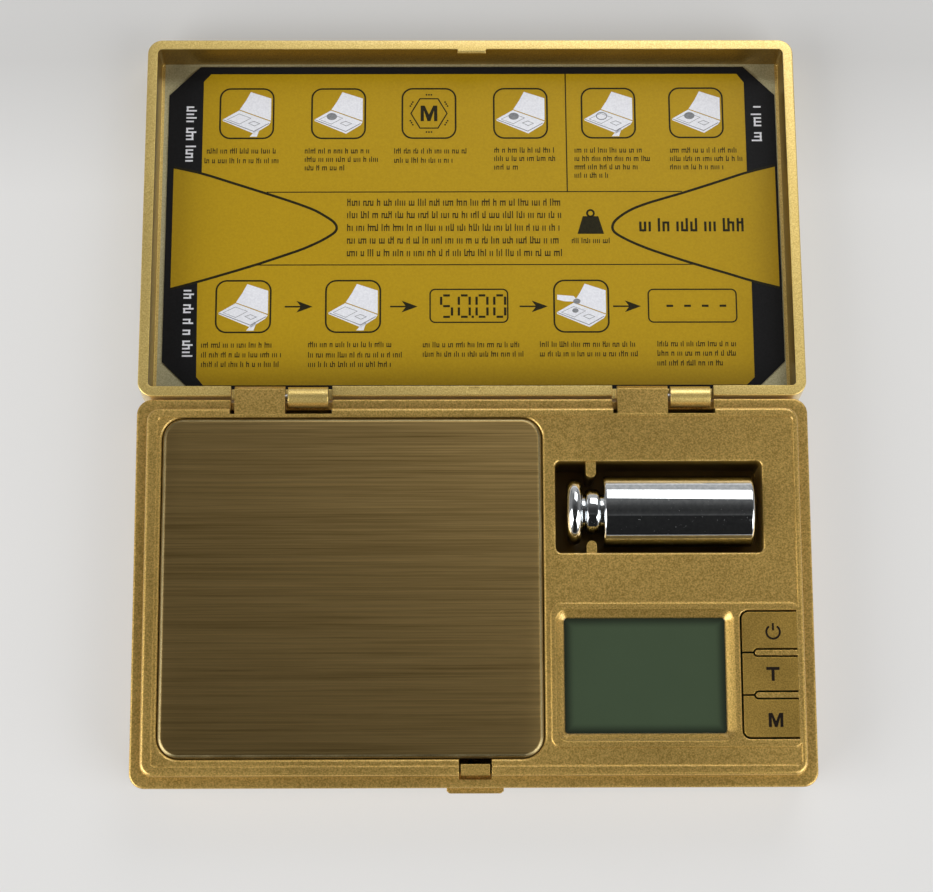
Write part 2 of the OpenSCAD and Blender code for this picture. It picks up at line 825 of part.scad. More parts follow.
module case_bosses() {
    for (p = case_screws_at)
        translate([p.x, p.y, parting_h])
            cylinder(r = case_boss_r, h = (p.x > 0 ? deck_z - deck_t : recess_z - recess_floor_t) - parting_h + eps);
}

// Knuckle that reaches back over the hinge line, flat on top at the deck
module knuckle() {
    front = -slot_front - hinge_gap / 2 - eps;
    translate([knuckle_x, hinge_y, hinge_h]) rotate([90, 0, 90]) linear_extrude(knuckle_l) intersection() {
        union() {
            circle(knuckle_r);
            translate([front, -knuckle_r]) square([-front, knuckle_r + deck_rise]);
        }
        translate([front, -knuckle_r]) square([knuckle_r - front, knuckle_r + deck_rise]);
    }
}

// Bore for the hinge pin, through the knuckle and whatever stands in line with it
module pin_bore() {
    translate([knuckle_x - eps, hinge_y, hinge_h]) rod_x(pin_r + pin_fit, knuckle_l + 2 * eps);
}

// Slot for the lid's barrel, and the gap to the left of the knuckle
module hinge_slot() {
    span([knuckle_x + knuckle_l, hinge_y - slot_front - hinge_gap / 2, hinge_h - slot_depth],
        [slot_l / 2, hinge_y + knuckle_r, lip_z + eps]);
    span([-slot_l / 2, hinge_y - slot_front - hinge_gap / 2, hinge_h - slot_depth],
        [knuckle_x, hinge_y + knuckle_r, lip_z + eps]);
    span([knuckle_x - eps, hinge_y - slot_front - hinge_gap / 2, deck_z],
        [knuckle_x + knuckle_l + eps, hinge_y, lip_z + eps]);
}

// Notch over the hook, and the window for the tab in the front wall
module latch_notch() {
    span([latch_x - notch_w / 2, front_y + ledge_w - 0.6, tab_z - 0.4],
        [latch_x + notch_w / 2, platform_y - platform_d / 2, lip_z + eps]);
    span([latch_x - tab_w / 2 - window_play, front_y - eps, tab_z - window_play],
        [latch_x + tab_w / 2 + window_play, front_y + wall + eps, tab_z + tab_h + window_play]);
    span([latch_x - tab_w / 2 - flange_lap - 0.4, front_y + wall, tab_z - 0.6],
        [latch_x + tab_w / 2 + flange_lap + 0.4, platform_y - recess_d / 2, tab_z + tab_h + 0.25]);
}

// Platform

// Steel tray with a turned down edge
module weighing_platform() {
    color("#6e5a34") translate([platform_x, platform_y, skirt_z]) difference() {
        soft_plate(platform_w, platform_d, platform_r, skirt_h, platform_edge_r, 0);
        translate([0, 0, -eps])
            plate(platform_w - 2 * sheet_t, platform_d - 2 * sheet_t, platform_r - sheet_t,
                skirt_h - sheet_t + eps);
    }
}

// Plastic spider between the tray and the load cell's free end
module platform_carrier() {
    w = platform_w - 2 * sheet_t - 2 * carrier_gap;
    d = platform_d - 2 * sheet_t - 2 * carrier_gap;
    pocket_w = (w - carrier_rib) / 4 - carrier_rib;
    pocket_d = (d - carrier_rib) / 2 - carrier_rib;
    color("#3c3628") difference() {
        union() {
            translate([platform_x, platform_y, carrier_z]) plate(w, d, platform_r - sheet_t, carrier_t);
            translate([platform_x - cell_l / 2 + cell_end_l / 2, platform_y, cell_z + cell_h])
                plate(cell_end_l - 2 * boss_in, cell_w, boss_r, carrier_z - cell_z - cell_h + eps);
        }
        for (i = [0 : 3], j = [0, 1])
            translate([platform_x - w / 2 + carrier_rib + i * (pocket_w + carrier_rib),
                platform_y - d / 2 + carrier_rib + j * (pocket_d + carrier_rib), carrier_z - eps])
                if (i > 0)
                    cube([pocket_w, pocket_d, carrier_t - carrier_web + eps]);
        for (n = [0, 1])
            translate([free_screw_x(n), platform_y, 0]) {
                cylinder(r = cell_screw_r + run_gap, h = deck_z);
                translate([0, 0, carrier_z + carrier_t - cell_head_h - head_sink])
                    cylinder(r = cell_head_r + seat_gap, h = cell_head_h + head_sink + eps);
            }
    }
}

// Countersunk screw that points down, with its head's top at Z zero
module pan_screw(r, l, head_r, head_h) {
    difference() {
        union() {
            translate([0, 0, -head_h]) cylinder(r = head_r, h = head_h);
            translate([0, 0, -head_h - l]) cylinder(r = r, h = l + eps);
        }
        for (a = [0, 90])
            rotate([0, 0, a]) translate([-head_r * 0.55, -0.25, -head_h * 0.6]) cube([head_r * 1.1, 0.5, head_h]);
    }
}

module carrier_screws() {
    color("#b0b0b0") for (n = [0, 1])
        translate([free_screw_x(n), platform_y, carrier_z + carrier_t - head_sink])
            pan_screw(cell_screw_r, carrier_z + carrier_t - cell_head_h - head_sink - cell_z - cell_h + cell_screw_bite,
                cell_head_r, cell_head_h);
}

// Aluminium bending beam with its joined pair of holes
module load_cell() {
    color("#c4c7c9") translate([platform_x, platform_y, cell_z]) difference() {
        translate([-cell_l / 2, -cell_w / 2, 0]) cube([cell_l, cell_w, cell_h]);
        for (sx = [-1, 1])
            translate([sx * cell_slot_x, cell_w, cell_h / 2]) rotate([90, 0, 0])
                cylinder(r = cell_slot_r, h = 2 * cell_w);
        translate([-cell_slot_x, -cell_w, cell_h / 2 - cell_slot_h / 2])
            cube([2 * cell_slot_x, 2 * cell_w, cell_slot_h]);
        for (n = [0, 1]) {
            translate([cell_screw_x(n) - platform_x, 0, -eps])
                cylinder(r = cell_screw_r + run_gap, h = cell_h - cell_hole_floor + eps);
            translate([free_screw_x(n) - platform_x, 0, cell_hole_floor])
                cylinder(r = cell_screw_r + run_gap, h = cell_h);
        }
    }
}

// Potting over the strain gauges in the middle of the beam
module gauge_cover() {
    color("#e8e6df") translate([platform_x, platform_y, cell_z + cell_h])
        soft_plate(cover_l, cell_w - 2 * cover_in, cover_r, cover_t, cover_t / 2, 0);
}

module load_cell_screws() {
    color("#b0b0b0") for (n = [0, 1])
        translate([cell_screw_x(n), platform_y, bottom_z + 0.1]) rotate([180, 0, 0])
            pan_screw(cell_screw_r, cell_z - bottom_z - cell_head_h + cell_screw_bite, cell_head_r,
                cell_head_h - seat_gap);
}

// Flat cable from the load cell to the circuit board
module sensor_ribbon() {
    x0 = platform_x + cell_slot_x + 2;
    xa = platform_x + cell_l / 2 + 1;
    xb = board_x0 - 1;
    x1 = board_x0 + 3;
    z0 = cell_z + cell_h;
    color("#9a9a9a") translate([0, platform_y - cell_w / 2 + 1.2 + ribbon_w, 0]) rotate([90, 0, 0])
        linear_extrude(ribbon_w)
            polygon([[x0, z0], [xa, z0], [xb, board_z - ribbon_t], [x1, board_z - ribbon_t], [x1, board_z],
                [xb, board_z], [xa, z0 + ribbon_t], [x0, z0 + ribbon_t]]);
}

// Electronics

module circuit_board() {
    color("#1f5c35") difference() {
        span([board_x0, board_y0, board_z], [board_x1, board_y1, board_top_z]);
        for (p = board_posts)
            translate([p.x, p.y, board_z - eps]) cylinder(r = board_screw_r + 0.2, h = board_t + 2 * eps);
        for (p = case_screws_at)
            translate([p.x, p.y, board_z - eps]) cylinder(r = case_boss_r + 0.6, h = board_t + 2 * eps);
    }
}

// Moulded blob over the controller, under the board
module control_chip() {
    color("#141414") translate([window_x, window_y, board_z - chip_t])
        soft_plate(chip_w, chip_w, chip_r, chip_t, 0, chip_t / 2);
}

module board_screws() {
    color("#b0b0b0") for (p = board_posts)
        translate([p.x, p.y, board_z - board_head_h]) rotate([180, 0, 0])
            pan_screw(board_screw_r - 2 * run_gap, board_t + board_screw_bite, board_head_r, board_head_h);
}

// Two glass plates of the liquid crystal display, the lower one with a contact ledge at the back
module display_glass() {
    z = window_z - lens_t - 2 * glass_t;
    w = window_w + 2 * glass_lap;
    d = window_d + 2 * glass_lap;
    color("#4a5a46") translate([window_x, window_y, z]) {
        translate([-w / 2, -d / 2, glass_t]) cube([w, d, glass_t - run_gap]);
        translate([-w / 2, -d / 2, 0]) cube([w, d - glass_ledge, glass_t + eps]);
    }
}

module display_window() {
    color("#3e4a3a") translate([window_x, window_y, window_z - lens_t])
        plate(window_w + 2 * lens_lap, window_d + 2 * lens_lap, 1.0, lens_t);
}

module display_reflector() {
    color("#f2f2ee") translate([window_x, window_y - glass_ledge / 2, board_top_z + run_gap])
        plate(window_w, window_d - glass_ledge, 0.8, reflector_t);
}

// Striped rubber that joins the board to the display's contact ledge
module contact_strip() {
    z1 = window_z - lens_t - glass_t;
    y1 = window_y + window_d / 2 + glass_lap;
    color("#555555") span([window_x - window_w / 2, y1 - glass_ledge + 0.4, board_top_z],
        [window_x + window_w / 2, y1 - 0.3, z1]);
}

// Bar that starts with a round end at its place and runs along X
module key_bar(w, l, h) {
    translate([w / 2, 0, 0]) cylinder(d = w, h = h);
    translate([w / 2, -w / 2, 0]) cube([l - w / 2, w, h]);
}

// Opening of the keys less a slit all round, as an upright block
module key_block() {
    y0 = key_y0(2);
    translate([(key_x0 + key_x1) / 2, (key_y1(0) + y0) / 2, key_top_z - key_t])
        plate(key_x1 - key_x0, key_y1(0) - y0, key_corner_r - key_slit / 2, key_t);
    span([(key_x0 + key_x1) / 2, y0, key_top_z - key_t], [key_x1, key_y1(0), key_top_z]);
}

// Key that flexes at its right end, with room for the rib to each neighbour and a stem below
module key_cap(n) {
    y1 = key_y1(n) - (n > 0 ? key_slit / 2 : -eps);
    y0 = key_y0(n) + (n < 2 ? key_slit / 2 : -eps);
    color("#8e753d") {
        difference() {
            intersection() {
                key_block();
                span([key_x0 - eps, y0, key_top_z - key_t - eps], [key_x1 + eps, y1, key_top_z + eps]);
            }
            for (m = [0, 1])
                translate([key_x0 + key_narrow, key_y0(m), key_top_z - key_t - eps])
                    key_bar(key_rib_w + 2 * key_slit, key_w, key_t + 2 * eps);
        }
        translate([key_x0 + stem_from_end, (key_y1(n) + key_y0(n)) / 2, board_top_z + switch_h + key_travel + run_gap])
            cylinder(r = stem_r, h = key_top_z - key_t - board_top_z - switch_h - key_travel);
    }
}

module key_power() {
    key_cap(0);
}

module key_tare() {
    key_cap(1);
}

module key_mode() {
    key_cap(2);
}

module key_switches() {
    for (n = [0 : 2])
        translate([key_x0 + stem_from_end, (key_y1(n) + key_y0(n)) / 2, board_top_z]) {
            color("#303030") translate([-switch_base / 2, -switch_base / 2, 0])
                cube([switch_base, switch_base, switch_h - 0.5]);
            color("#c8c8c8") translate([0, 0, switch_h - 0.6]) cylinder(r = switch_r, h = 0.6);
        }
}

// Latch

// Button with a ribbed tab in front, a flange behind the wall and a hook that stands in the notch
module latch_button() {
    color("#8a7038") translate([latch_x, 0, 0]) {
        span([-tab_w / 2, front_y - tab_proud + rib_r + 0.15, tab_z], [tab_w / 2, front_y + wall + 0.2, tab_z + tab_h]);
        for (i = [0 : rib_count - 1])
            translate([tab_w * ((i + 0.5) / rib_count - 0.5), front_y - tab_proud + rib_r + 0.15, tab_z])
                cylinder(r = rib_r, h = tab_h - tab_brow);
        translate([0, front_y, tab_z + tab_h - tab_brow]) plate(tab_w, 2 * tab_proud, tab_proud * 0.9, tab_brow);
        span([-tab_w / 2 - flange_lap, front_y + wall + 0.1, tab_z - 0.3],
            [tab_w / 2 + flange_lap, front_y + wall + 0.1 + flange_t, tab_z + tab_h + 0.15]);
        span([-post_w / 2, front_y + wall, tab_z], [post_w / 2, post_y1, tab_z + tab_h]);
        span([-post_w / 2, post_y0, tab_z], [post_w / 2, post_y1, hook_top_z]);
        hook();
        translate([0, post_y1 - eps, spring_z]) rotate([-90, 0, 0]) cylinder(r = nub_r, h = nub_l + eps);
    }
}

// Nose of the hook, sloped on top so that the closing lid pushes it back
module hook() {
    tip = hook_y0 - post_y0;
    translate([-post_w / 2, post_y0, nose_z]) rotate([90, 0, 90]) linear_extrude(post_w)
        polygon([[tip, 0], [eps, 0], [eps, hook_top_z - nose_z], [0, hook_top_z - nose_z], [tip, 0.15]]);
}

module latch_spring() {
    color("#9c9c9c") translate([latch_x, post_y1, spring_z]) rotate([-90, 0, 0])
        coil(latch_spring_r, latch_spring_r, spring_wire / 2, 4, bay_y - bay_d / 2 - bay_wall - post_y1);
}

// Batteries

// Door that hooks behind the back edge of its opening and snaps at the front
module battery_door() {
    y1 = bay_y + door_d / 2;
    color("#8a7038") {
        difference() {
            union() {
                translate([bay_x, bay_y, bottom_z]) plate(door_w, door_d, 0.6, door_t);
                for (side = [-1, 1])
                    translate([bay_x + side * hook_x - hook_w / 2, y1 - 1, bottom_z + hook_z])
                        cube([hook_w, hook_l + 1, door_t - hook_z]);
            }
            for (i = [0 : 4])
                translate([bay_x - grip_w / 2, y1 - door_d + grip_in + grip_pitch * i, bottom_z - eps])
                    cube([grip_w, grip_cut, grip_depth + eps]);
        }
    }
}

module cell_battery(y, turned) {
    x = bay_x + (turned ? 1 : -1) * (bay_l / 2 - contact_in - contact_t / 2);
    color("#3d5a80") translate([x, y, battery_z]) rotate([0, 0, turned ? 0 : 180]) mirror([1, 0, 0]) {
        translate([nub_t, 0, 0]) rod_x(battery_d / 2, battery_l - nub_t);
        rod_x(battery_nub_r, battery_l);
    }
}

module battery_front() {
    cell_battery(bay_y - battery_pitch / 2, false);
}

module battery_rear() {
    cell_battery(bay_y + battery_pitch / 2, true);
}

// Contact plates on the two end walls of the bay
module battery_contacts() {
    color("#c9b27a") for (sx = [-1, 1], sy = [-1, 1])
        translate([bay_x + sx * (bay_l / 2 - contact_in), bay_y + sy * battery_pitch / 2, battery_z])
            cube([contact_t, contact_w, contact_w], center = true);
}

// Wound springs at the flat end of each battery
module battery_springs() {
    color("#b9b9b9") for (sy = [-1, 1])
        translate([bay_x - sy * (bay_l / 2 - contact_in - contact_t / 2), bay_y + sy * battery_pitch / 2, battery_z])
            rotate([0, 90 * sy, 0]) coil(battery_coil_r, battery_coil_r * 0.6, battery_wire_r, 3,
                bay_l - 2 * contact_in - contact_t - battery_l);
}

// Lid and hinge

// Moves a shape drawn flat behind the hinge line to the open lid's place
module on_lid() {
    translate([0, hinge_y, hinge_h]) rotate([-open_tilt, 0, 0]) children();
}

module lid_shell() {
    y_mid = hinge_gap / 2 + case_d / 2;
    in_w = case_w - 2 * rim_w;
    in_d = case_d - 2 * rim_w;
    in_r = 0.9;
    color("#b79c5c") on_lid() difference() {
        union() {
            difference() {
                translate([0, y_mid, -lid_h]) soft_plate(case_w, case_d, corner_r, lid_h, 0.25, edge_r);
                translate([0, y_mid, -lid_depth]) {
                    plate(in_w - 2 * lid_draft, in_d - 2 * lid_draft, in_r - lid_draft, lid_h);
                    around(in_w, in_d, in_r) polygon([[-lid_draft - eps, 0], [-lid_draft, 0],
                        [0, lid_depth], [0, lid_depth + eps], [-lid_draft - eps, lid_depth + eps]]);
                }
                for (side = [-1, 1]) translate([side * hinge_x, 0, 0])
                    span([-slot_l / 2, -eps, -notch_depth], [slot_l / 2, hinge_gap / 2 + rim_w + 0.3, eps]);
            }
            for (side = [-1, 1]) translate([side * hinge_x, 0, 0]) barrel();
            lid_catch();
        }
        for (side = [-1, 1]) translate([side * hinge_x + barrel_x - eps, 0, 0])
            rod_x(pin_r + run_gap, barrel_l + 2 * eps);
        ejector_mark();
    }
}

module barrel() {
    translate([barrel_x, 0, 0]) rod_x(barrel_r, barrel_l);
    span([barrel_x, hinge_gap / 2, -notch_depth - eps], [barrel_x + barrel_l, barrel_r, 0]);
}

// Lip inside the far wall that the latch's hook holds when the lid is shut
module lid_catch() {
    y = hinge_gap / 2 + lid_face;
    translate([latch_x - catch_w / 2, y, 0]) rotate([90, 0, 90]) linear_extrude(catch_w)
        polygon([[rim_w / 2, 0], [-catch_reach + 0.35, 0], [-catch_reach, -0.35], [-catch_reach, -catch_h + 0.1],
            [rim_w / 2, -catch_h + 0.1]]);
}

// Shallow mark of the mould's ejector on the rim by the hinge
module ejector_mark() {
    translate([latch_x, hinge_gap / 2 + rim_w / 2 + 0.1, -0.15]) {
        for (side = [-1, 1]) translate([side * 0.85, 0, 0]) cylinder(r = 0.6, h = 0.4);
        translate([-0.85, -0.6, 0]) cube([1.7, 1.2, 0.4]);
    }
}

module instruction_card() {
    w = case_w - 2 * (rim_w + lid_draft + card_gap_x);
    d = case_d - 2 * (rim_w + lid_draft + card_gap_y);
    color("#a8862c") on_lid() translate([card_off, hinge_gap / 2 + case_d / 2, -lid_depth])
        linear_extrude(0.3) difference() {
            square([w, d], center = true);
            for (sx = [-1, 1], sy = [-1, 1])
                translate([sx * w / 2, sy * d / 2]) rotate([0, 0, 45])
                    square(card_cut * sqrt(2), center = true);
        }
}

module hinge_pin(side) {
    color("#b5b5b5") translate([side * hinge_x + knuckle_x + pin_in, hinge_y, hinge_h]) rod_x(pin_r, pin_l);
}

module hinge_pin_left() {
    hinge_pin(-1);
}

module hinge_pin_right() {
    hinge_pin(1);
}

module case_screws() {
    color("#b0b0b0") for (p = case_screws_at)
        translate([p.x, p.y, bottom_z + 0.1]) rotate([180, 0, 0])
            pan_screw(case_screw_r - 2 * run_gap, parting_h - bottom_z - case_head_h + case_screw_bite,
                case_head_r, case_head_h - 0.1);
}

// Turned steel weight with a head, a neck to hold it by and a body
module calibration_weight() {
    color("#d5d8da") translate([weight_x, weight_y, weight_z]) rotate([0, 90, 0]) rotate_extrude()
        weight_profile();
}

// Half section of the weight, with X as the radius and Y along its axis from the head
module weight_profile() {
    c = weight_chamfer;
    n0 = weight_head_l;
    n1 = n0 + weight_neck_l;
    e = weight_head_edge;
    square([weight_head_r - e, n0]);
    translate([0, e]) square([weight_head_r, n0 - 2 * e]);
    translate([weight_head_r - e, e]) circle(e);
    translate([weight_head_r - e, n0 - e]) circle(e);
    bend = (pow(weight_neck_l / 2, 2) + pow(weight_neck_flare, 2)) / (2 * weight_neck_flare);
    difference() {
        translate([0, n0 - eps]) square([weight_neck_r + weight_neck_flare, weight_neck_l + 2 * eps]);
        translate([weight_neck_r + bend, n0 + weight_neck_l / 2]) circle(bend);
    }
    polygon([[0, n1], [weight_r - c, n1], [weight_r, n1 + c], [weight_r, weight_l - c], [weight_r - c, weight_l],
        [0, weight_l]]);
}

base_tub();
top_shell();
weighing_platform();
platform_carrier();
carrier_screws();
load_cell();
gauge_cover();
load_cell_screws();
sensor_ribbon();
circuit_board();
control_chip();
board_screws();
display_glass();
display_window();
display_reflector();
contact_strip();
key_power();
key_tare();
key_mode();
key_switches();
latch_button();
latch_spring();
battery_door();
battery_front();
battery_rear();
battery_contacts();
battery_springs();
foot(-1, -1);  // foot_front_left
foot(1, -1);  // foot_front_right
foot(-1, 1);  // foot_rear_left
foot(1, 1);  // foot_rear_right
case_screws();
hinge_pin_left();
hinge_pin_right();
lid_shell();
instruction_card();
calibration_weight();
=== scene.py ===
"""Digital pocket scale with a fold-back lid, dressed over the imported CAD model.

The CAD frame gives every solid and its place. This script gives each of them its finish, replaces the ones that
need a smoother skin, and adds what is printed on them: the legends of the keys and the picture card in the lid.
All lengths in the classes are in millimetres and become metres where a mesh is made.
"""

import json
import logging
import math
from dataclasses import dataclass, field, replace
from enum import Enum

import bmesh
import bpy
import numpy as np
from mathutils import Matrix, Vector

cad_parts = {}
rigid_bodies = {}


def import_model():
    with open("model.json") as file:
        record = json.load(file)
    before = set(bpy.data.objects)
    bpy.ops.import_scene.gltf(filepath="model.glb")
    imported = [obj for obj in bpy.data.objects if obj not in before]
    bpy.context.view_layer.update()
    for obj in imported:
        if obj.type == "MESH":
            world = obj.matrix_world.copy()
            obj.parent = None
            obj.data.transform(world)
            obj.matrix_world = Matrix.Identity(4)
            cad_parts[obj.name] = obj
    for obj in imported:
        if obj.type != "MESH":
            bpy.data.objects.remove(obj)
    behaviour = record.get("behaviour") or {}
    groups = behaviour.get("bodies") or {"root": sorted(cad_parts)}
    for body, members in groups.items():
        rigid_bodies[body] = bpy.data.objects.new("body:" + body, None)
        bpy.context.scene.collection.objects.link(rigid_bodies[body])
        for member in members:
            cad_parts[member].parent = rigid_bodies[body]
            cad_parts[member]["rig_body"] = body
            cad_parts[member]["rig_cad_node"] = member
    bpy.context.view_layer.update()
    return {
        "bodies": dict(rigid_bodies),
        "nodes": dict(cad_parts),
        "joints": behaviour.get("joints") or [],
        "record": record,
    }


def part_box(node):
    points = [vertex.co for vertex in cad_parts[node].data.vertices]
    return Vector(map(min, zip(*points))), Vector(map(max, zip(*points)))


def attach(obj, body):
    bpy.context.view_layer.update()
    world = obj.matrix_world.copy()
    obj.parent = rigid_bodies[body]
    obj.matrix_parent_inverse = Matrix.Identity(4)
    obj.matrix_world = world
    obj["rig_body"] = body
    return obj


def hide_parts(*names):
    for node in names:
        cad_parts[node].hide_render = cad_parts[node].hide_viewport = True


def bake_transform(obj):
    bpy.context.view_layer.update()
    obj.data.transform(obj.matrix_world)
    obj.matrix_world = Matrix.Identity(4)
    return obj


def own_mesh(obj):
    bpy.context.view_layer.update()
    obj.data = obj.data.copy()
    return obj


log = logging.getLogger("pocket_scale")

MM = 0.001
PER_METRE = 1000.0
PHOTO_WIDTH = 933
Box = tuple[tuple[float, float, float], tuple[float, float, float]]


# ---------------------------------------------------------------------------------------------------------------
# Small helpers
# ---------------------------------------------------------------------------------------------------------------


def srgb(code: str) -> tuple[float, float, float, float]:
    """Turns an sRGB hex colour into a linear one.

    Args:
        code: six hex digits, with or without a leading hash.

    Returns:
        Linear red, green, blue and an alpha of one.
    """
    values = np.array([int(code.lstrip("#")[i : i + 2], 16) for i in (0, 2, 4)]) / 255.0
    linear = np.where(values <= 0.04045, values / 12.92, ((values + 0.055) / 1.055) ** 2.4)
    return (float(linear[0]), float(linear[1]), float(linear[2]), 1.0)


def add_node(tree: bpy.types.NodeTree, kind: str, inputs: dict | None = None, **settings: object) -> bpy.types.Node:
    """Adds one shader node, sets its properties and fills or links its inputs.

    Args:
        tree: node tree that gets the node.
        kind: Blender's name of the node type.
        inputs: input name or number to a value, or to the output socket it is linked from.
        **settings: properties of the node itself.

    Returns:
        The new node.
    """
    node = tree.nodes.new(kind)
    for name, value in settings.items():
        setattr(node, name, value)
    for key, value in (inputs or {}).items():
        if isinstance(value, bpy.types.NodeSocket):
            tree.links.new(value, node.inputs[key])
        else:
            node.inputs[key].default_value = value
    return node


def new_material(name: str) -> tuple[bpy.types.Material, bpy.types.NodeTree, bpy.types.NodeSocket]:
    """Starts a material with an empty node tree.

    Args:
        name: the real material and how its surface was made.

    Returns:
        The material, its tree and the socket that gives its object coordinates.
    """
    material = bpy.data.materials.new(name)
    material.use_nodes = True
    tree = material.node_tree
    tree.nodes.clear()
    return material, tree, add_node(tree, "ShaderNodeTexCoord").outputs["Object"]


def ramp_stops(node: bpy.types.Node, stops: list[tuple[float, tuple[float, float, float, float]]]) -> None:
    """Gives a colour ramp its stops.

    Args:
        node: the ramp.
        stops: position and linear colour of each stop, in rising order.
    """
    elements = node.color_ramp.elements
    while len(elements) < len(stops):
        elements.new(0.5)
    for element, (position, colour) in zip(elements, stops):
        element.position = position
        element.color = colour


def grey(level: float) -> tuple[float, float, float, float]:
    """Linear grey of a level."""
    return (level, level, level, 1.0)


# ---------------------------------------------------------------------------------------------------------------
# Finishes
# ---------------------------------------------------------------------------------------------------------------


@dataclass(frozen=True)
class GrainFinish:
    """A surface with an even grain: moulded, lacquered, printed, cast or blasted.

    Attributes:
        name: the real material and how its surface was made.
        dark: colour in the hollows of the grain.
        light: colour on its tops.
        metallic: share of metal.
        roughness: roughness in the hollows and on the tops.
        grain_mm: width of one grain.
        relief_mm: height of the grain.
        cloud_mm: width of the slow change of colour over the piece.
        cloud: strength of that change, from zero to one.
        coat: clear layer over it.
        coat_rough: roughness of that layer.
        edge_mm: radius that light sees on the sharp edges.
        shine: specular level of what isn't metal.
        scuff: roughness of small scattered marks.
        scuff_mm: width of such a mark.
        deep: painted shade colour that the surface turns to low down, where there is one.
        painted: heights in millimetres over which that painted shade gives way to the lacquer going up, from full shade
            to none.
    """

    name: str
    dark: str
    light: str
    metallic: float = 0.0
    roughness: tuple[float, float] = (0.45, 0.6)
    grain_mm: float = 0.5
    relief_mm: float = 0.01
    cloud_mm: float = 18.0
    cloud: float = 0.15
    coat: float = 0.0
    coat_rough: float = 0.12
    edge_mm: float = 0.0
    shine: float = 0.5
    scuff: float = 0.0
    scuff_mm: float = 0.45
    deep: str = ""
    painted: tuple[float, float] = (0.0, 1.0)

    def build(self) -> bpy.types.Material:
        """Makes the material.

        Returns:
            The new material, with its patterns on object coordinates.
        """
        material, tree, place = new_material(self.name)
        grain, cloud = (
            add_node(
                tree,
                "ShaderNodeTexNoise",
                {"Vector": place, "Scale": PER_METRE / width, "Detail": detail, "Roughness": rise},
            )
            for width, detail, rise in ((self.grain_mm, 2.0, 0.55), (self.cloud_mm, 3.0, 0.5))
        )
        spread = add_node(
            tree, "ShaderNodeMapRange", {"Value": grain.outputs["Fac"], "From Min": 0.32, "From Max": 0.68}
        )
        tone = add_node(tree, "ShaderNodeMix", {0: self.cloud, 2: spread.outputs["Result"], 3: cloud.outputs["Fac"]})
        colour = add_node(tree, "ShaderNodeValToRGB", {"Fac": tone.outputs[0]})
        ramp_stops(colour, [(0.0, srgb(self.dark)), (1.0, srgb(self.light))])
        paint = colour.outputs["Color"]
        # Below the given heights the colour turns to the painted shade colour, darker towards the bottom.
        if self.deep:
            split = add_node(tree, "ShaderNodeSeparateXYZ", {"Vector": place})
            low, high = (height * MM for height in self.painted)
            cover = add_node(
                tree, "ShaderNodeMapRange", {"Value": split.outputs["Z"], "From Min": low, "From Max": high}
            )
            thin = add_node(
                tree, "ShaderNodeMix", {0: cover.outputs["Result"], 6: srgb(self.deep), 7: paint}, data_type="RGBA"
            )
            paint = thin.outputs[2]
        low, high = self.roughness
        rough = add_node(
            tree,
            "ShaderNodeMapRange",
            {"Value": cloud.outputs["Fac"], "From Min": 0.3, "From Max": 0.7, "To Min": low, "To Max": high},
        )
        if self.scuff > 0.0:
            specks = add_node(
                tree,
                "ShaderNodeTexNoise",
                {"Vector": place, "Scale": PER_METRE / self.scuff_mm, "Detail": 4.0, "Roughness": 0.7},
            )
            marks = add_node(
                tree,
                "ShaderNodeMapRange",
                {"Value": specks.outputs["Fac"], "From Min": 0.64, "From Max": 0.76, "To Max": self.scuff},
            )
            rough = add_node(tree, "ShaderNodeMath", {0: rough.outputs["Result"], 1: marks.outputs["Result"]})
        relief: dict = {"Strength": 1.0, "Distance": self.relief_mm * MM, "Height": grain.outputs["Fac"]}
        if self.edge_mm > 0.0:
            edge = add_node(tree, "ShaderNodeBevel", {"Radius": self.edge_mm * MM}, samples=4)
            relief["Normal"] = edge.outputs["Normal"]
        bump = add_node(tree, "ShaderNodeBump", relief)
        shader = add_node(
            tree,
            "ShaderNodeBsdfPrincipled",
            {
                "Base Color": paint,
                "Metallic": self.metallic,
                "Roughness": rough.outputs[0],
                "Specular IOR Level": self.shine,
                "Coat Weight": self.coat,
                "Coat Roughness": self.coat_rough,
                "Normal": bump.outputs["Normal"],
            },
        )
        add_node(tree, "ShaderNodeOutputMaterial", {"Surface": shader.outputs["BSDF"]})
        return material


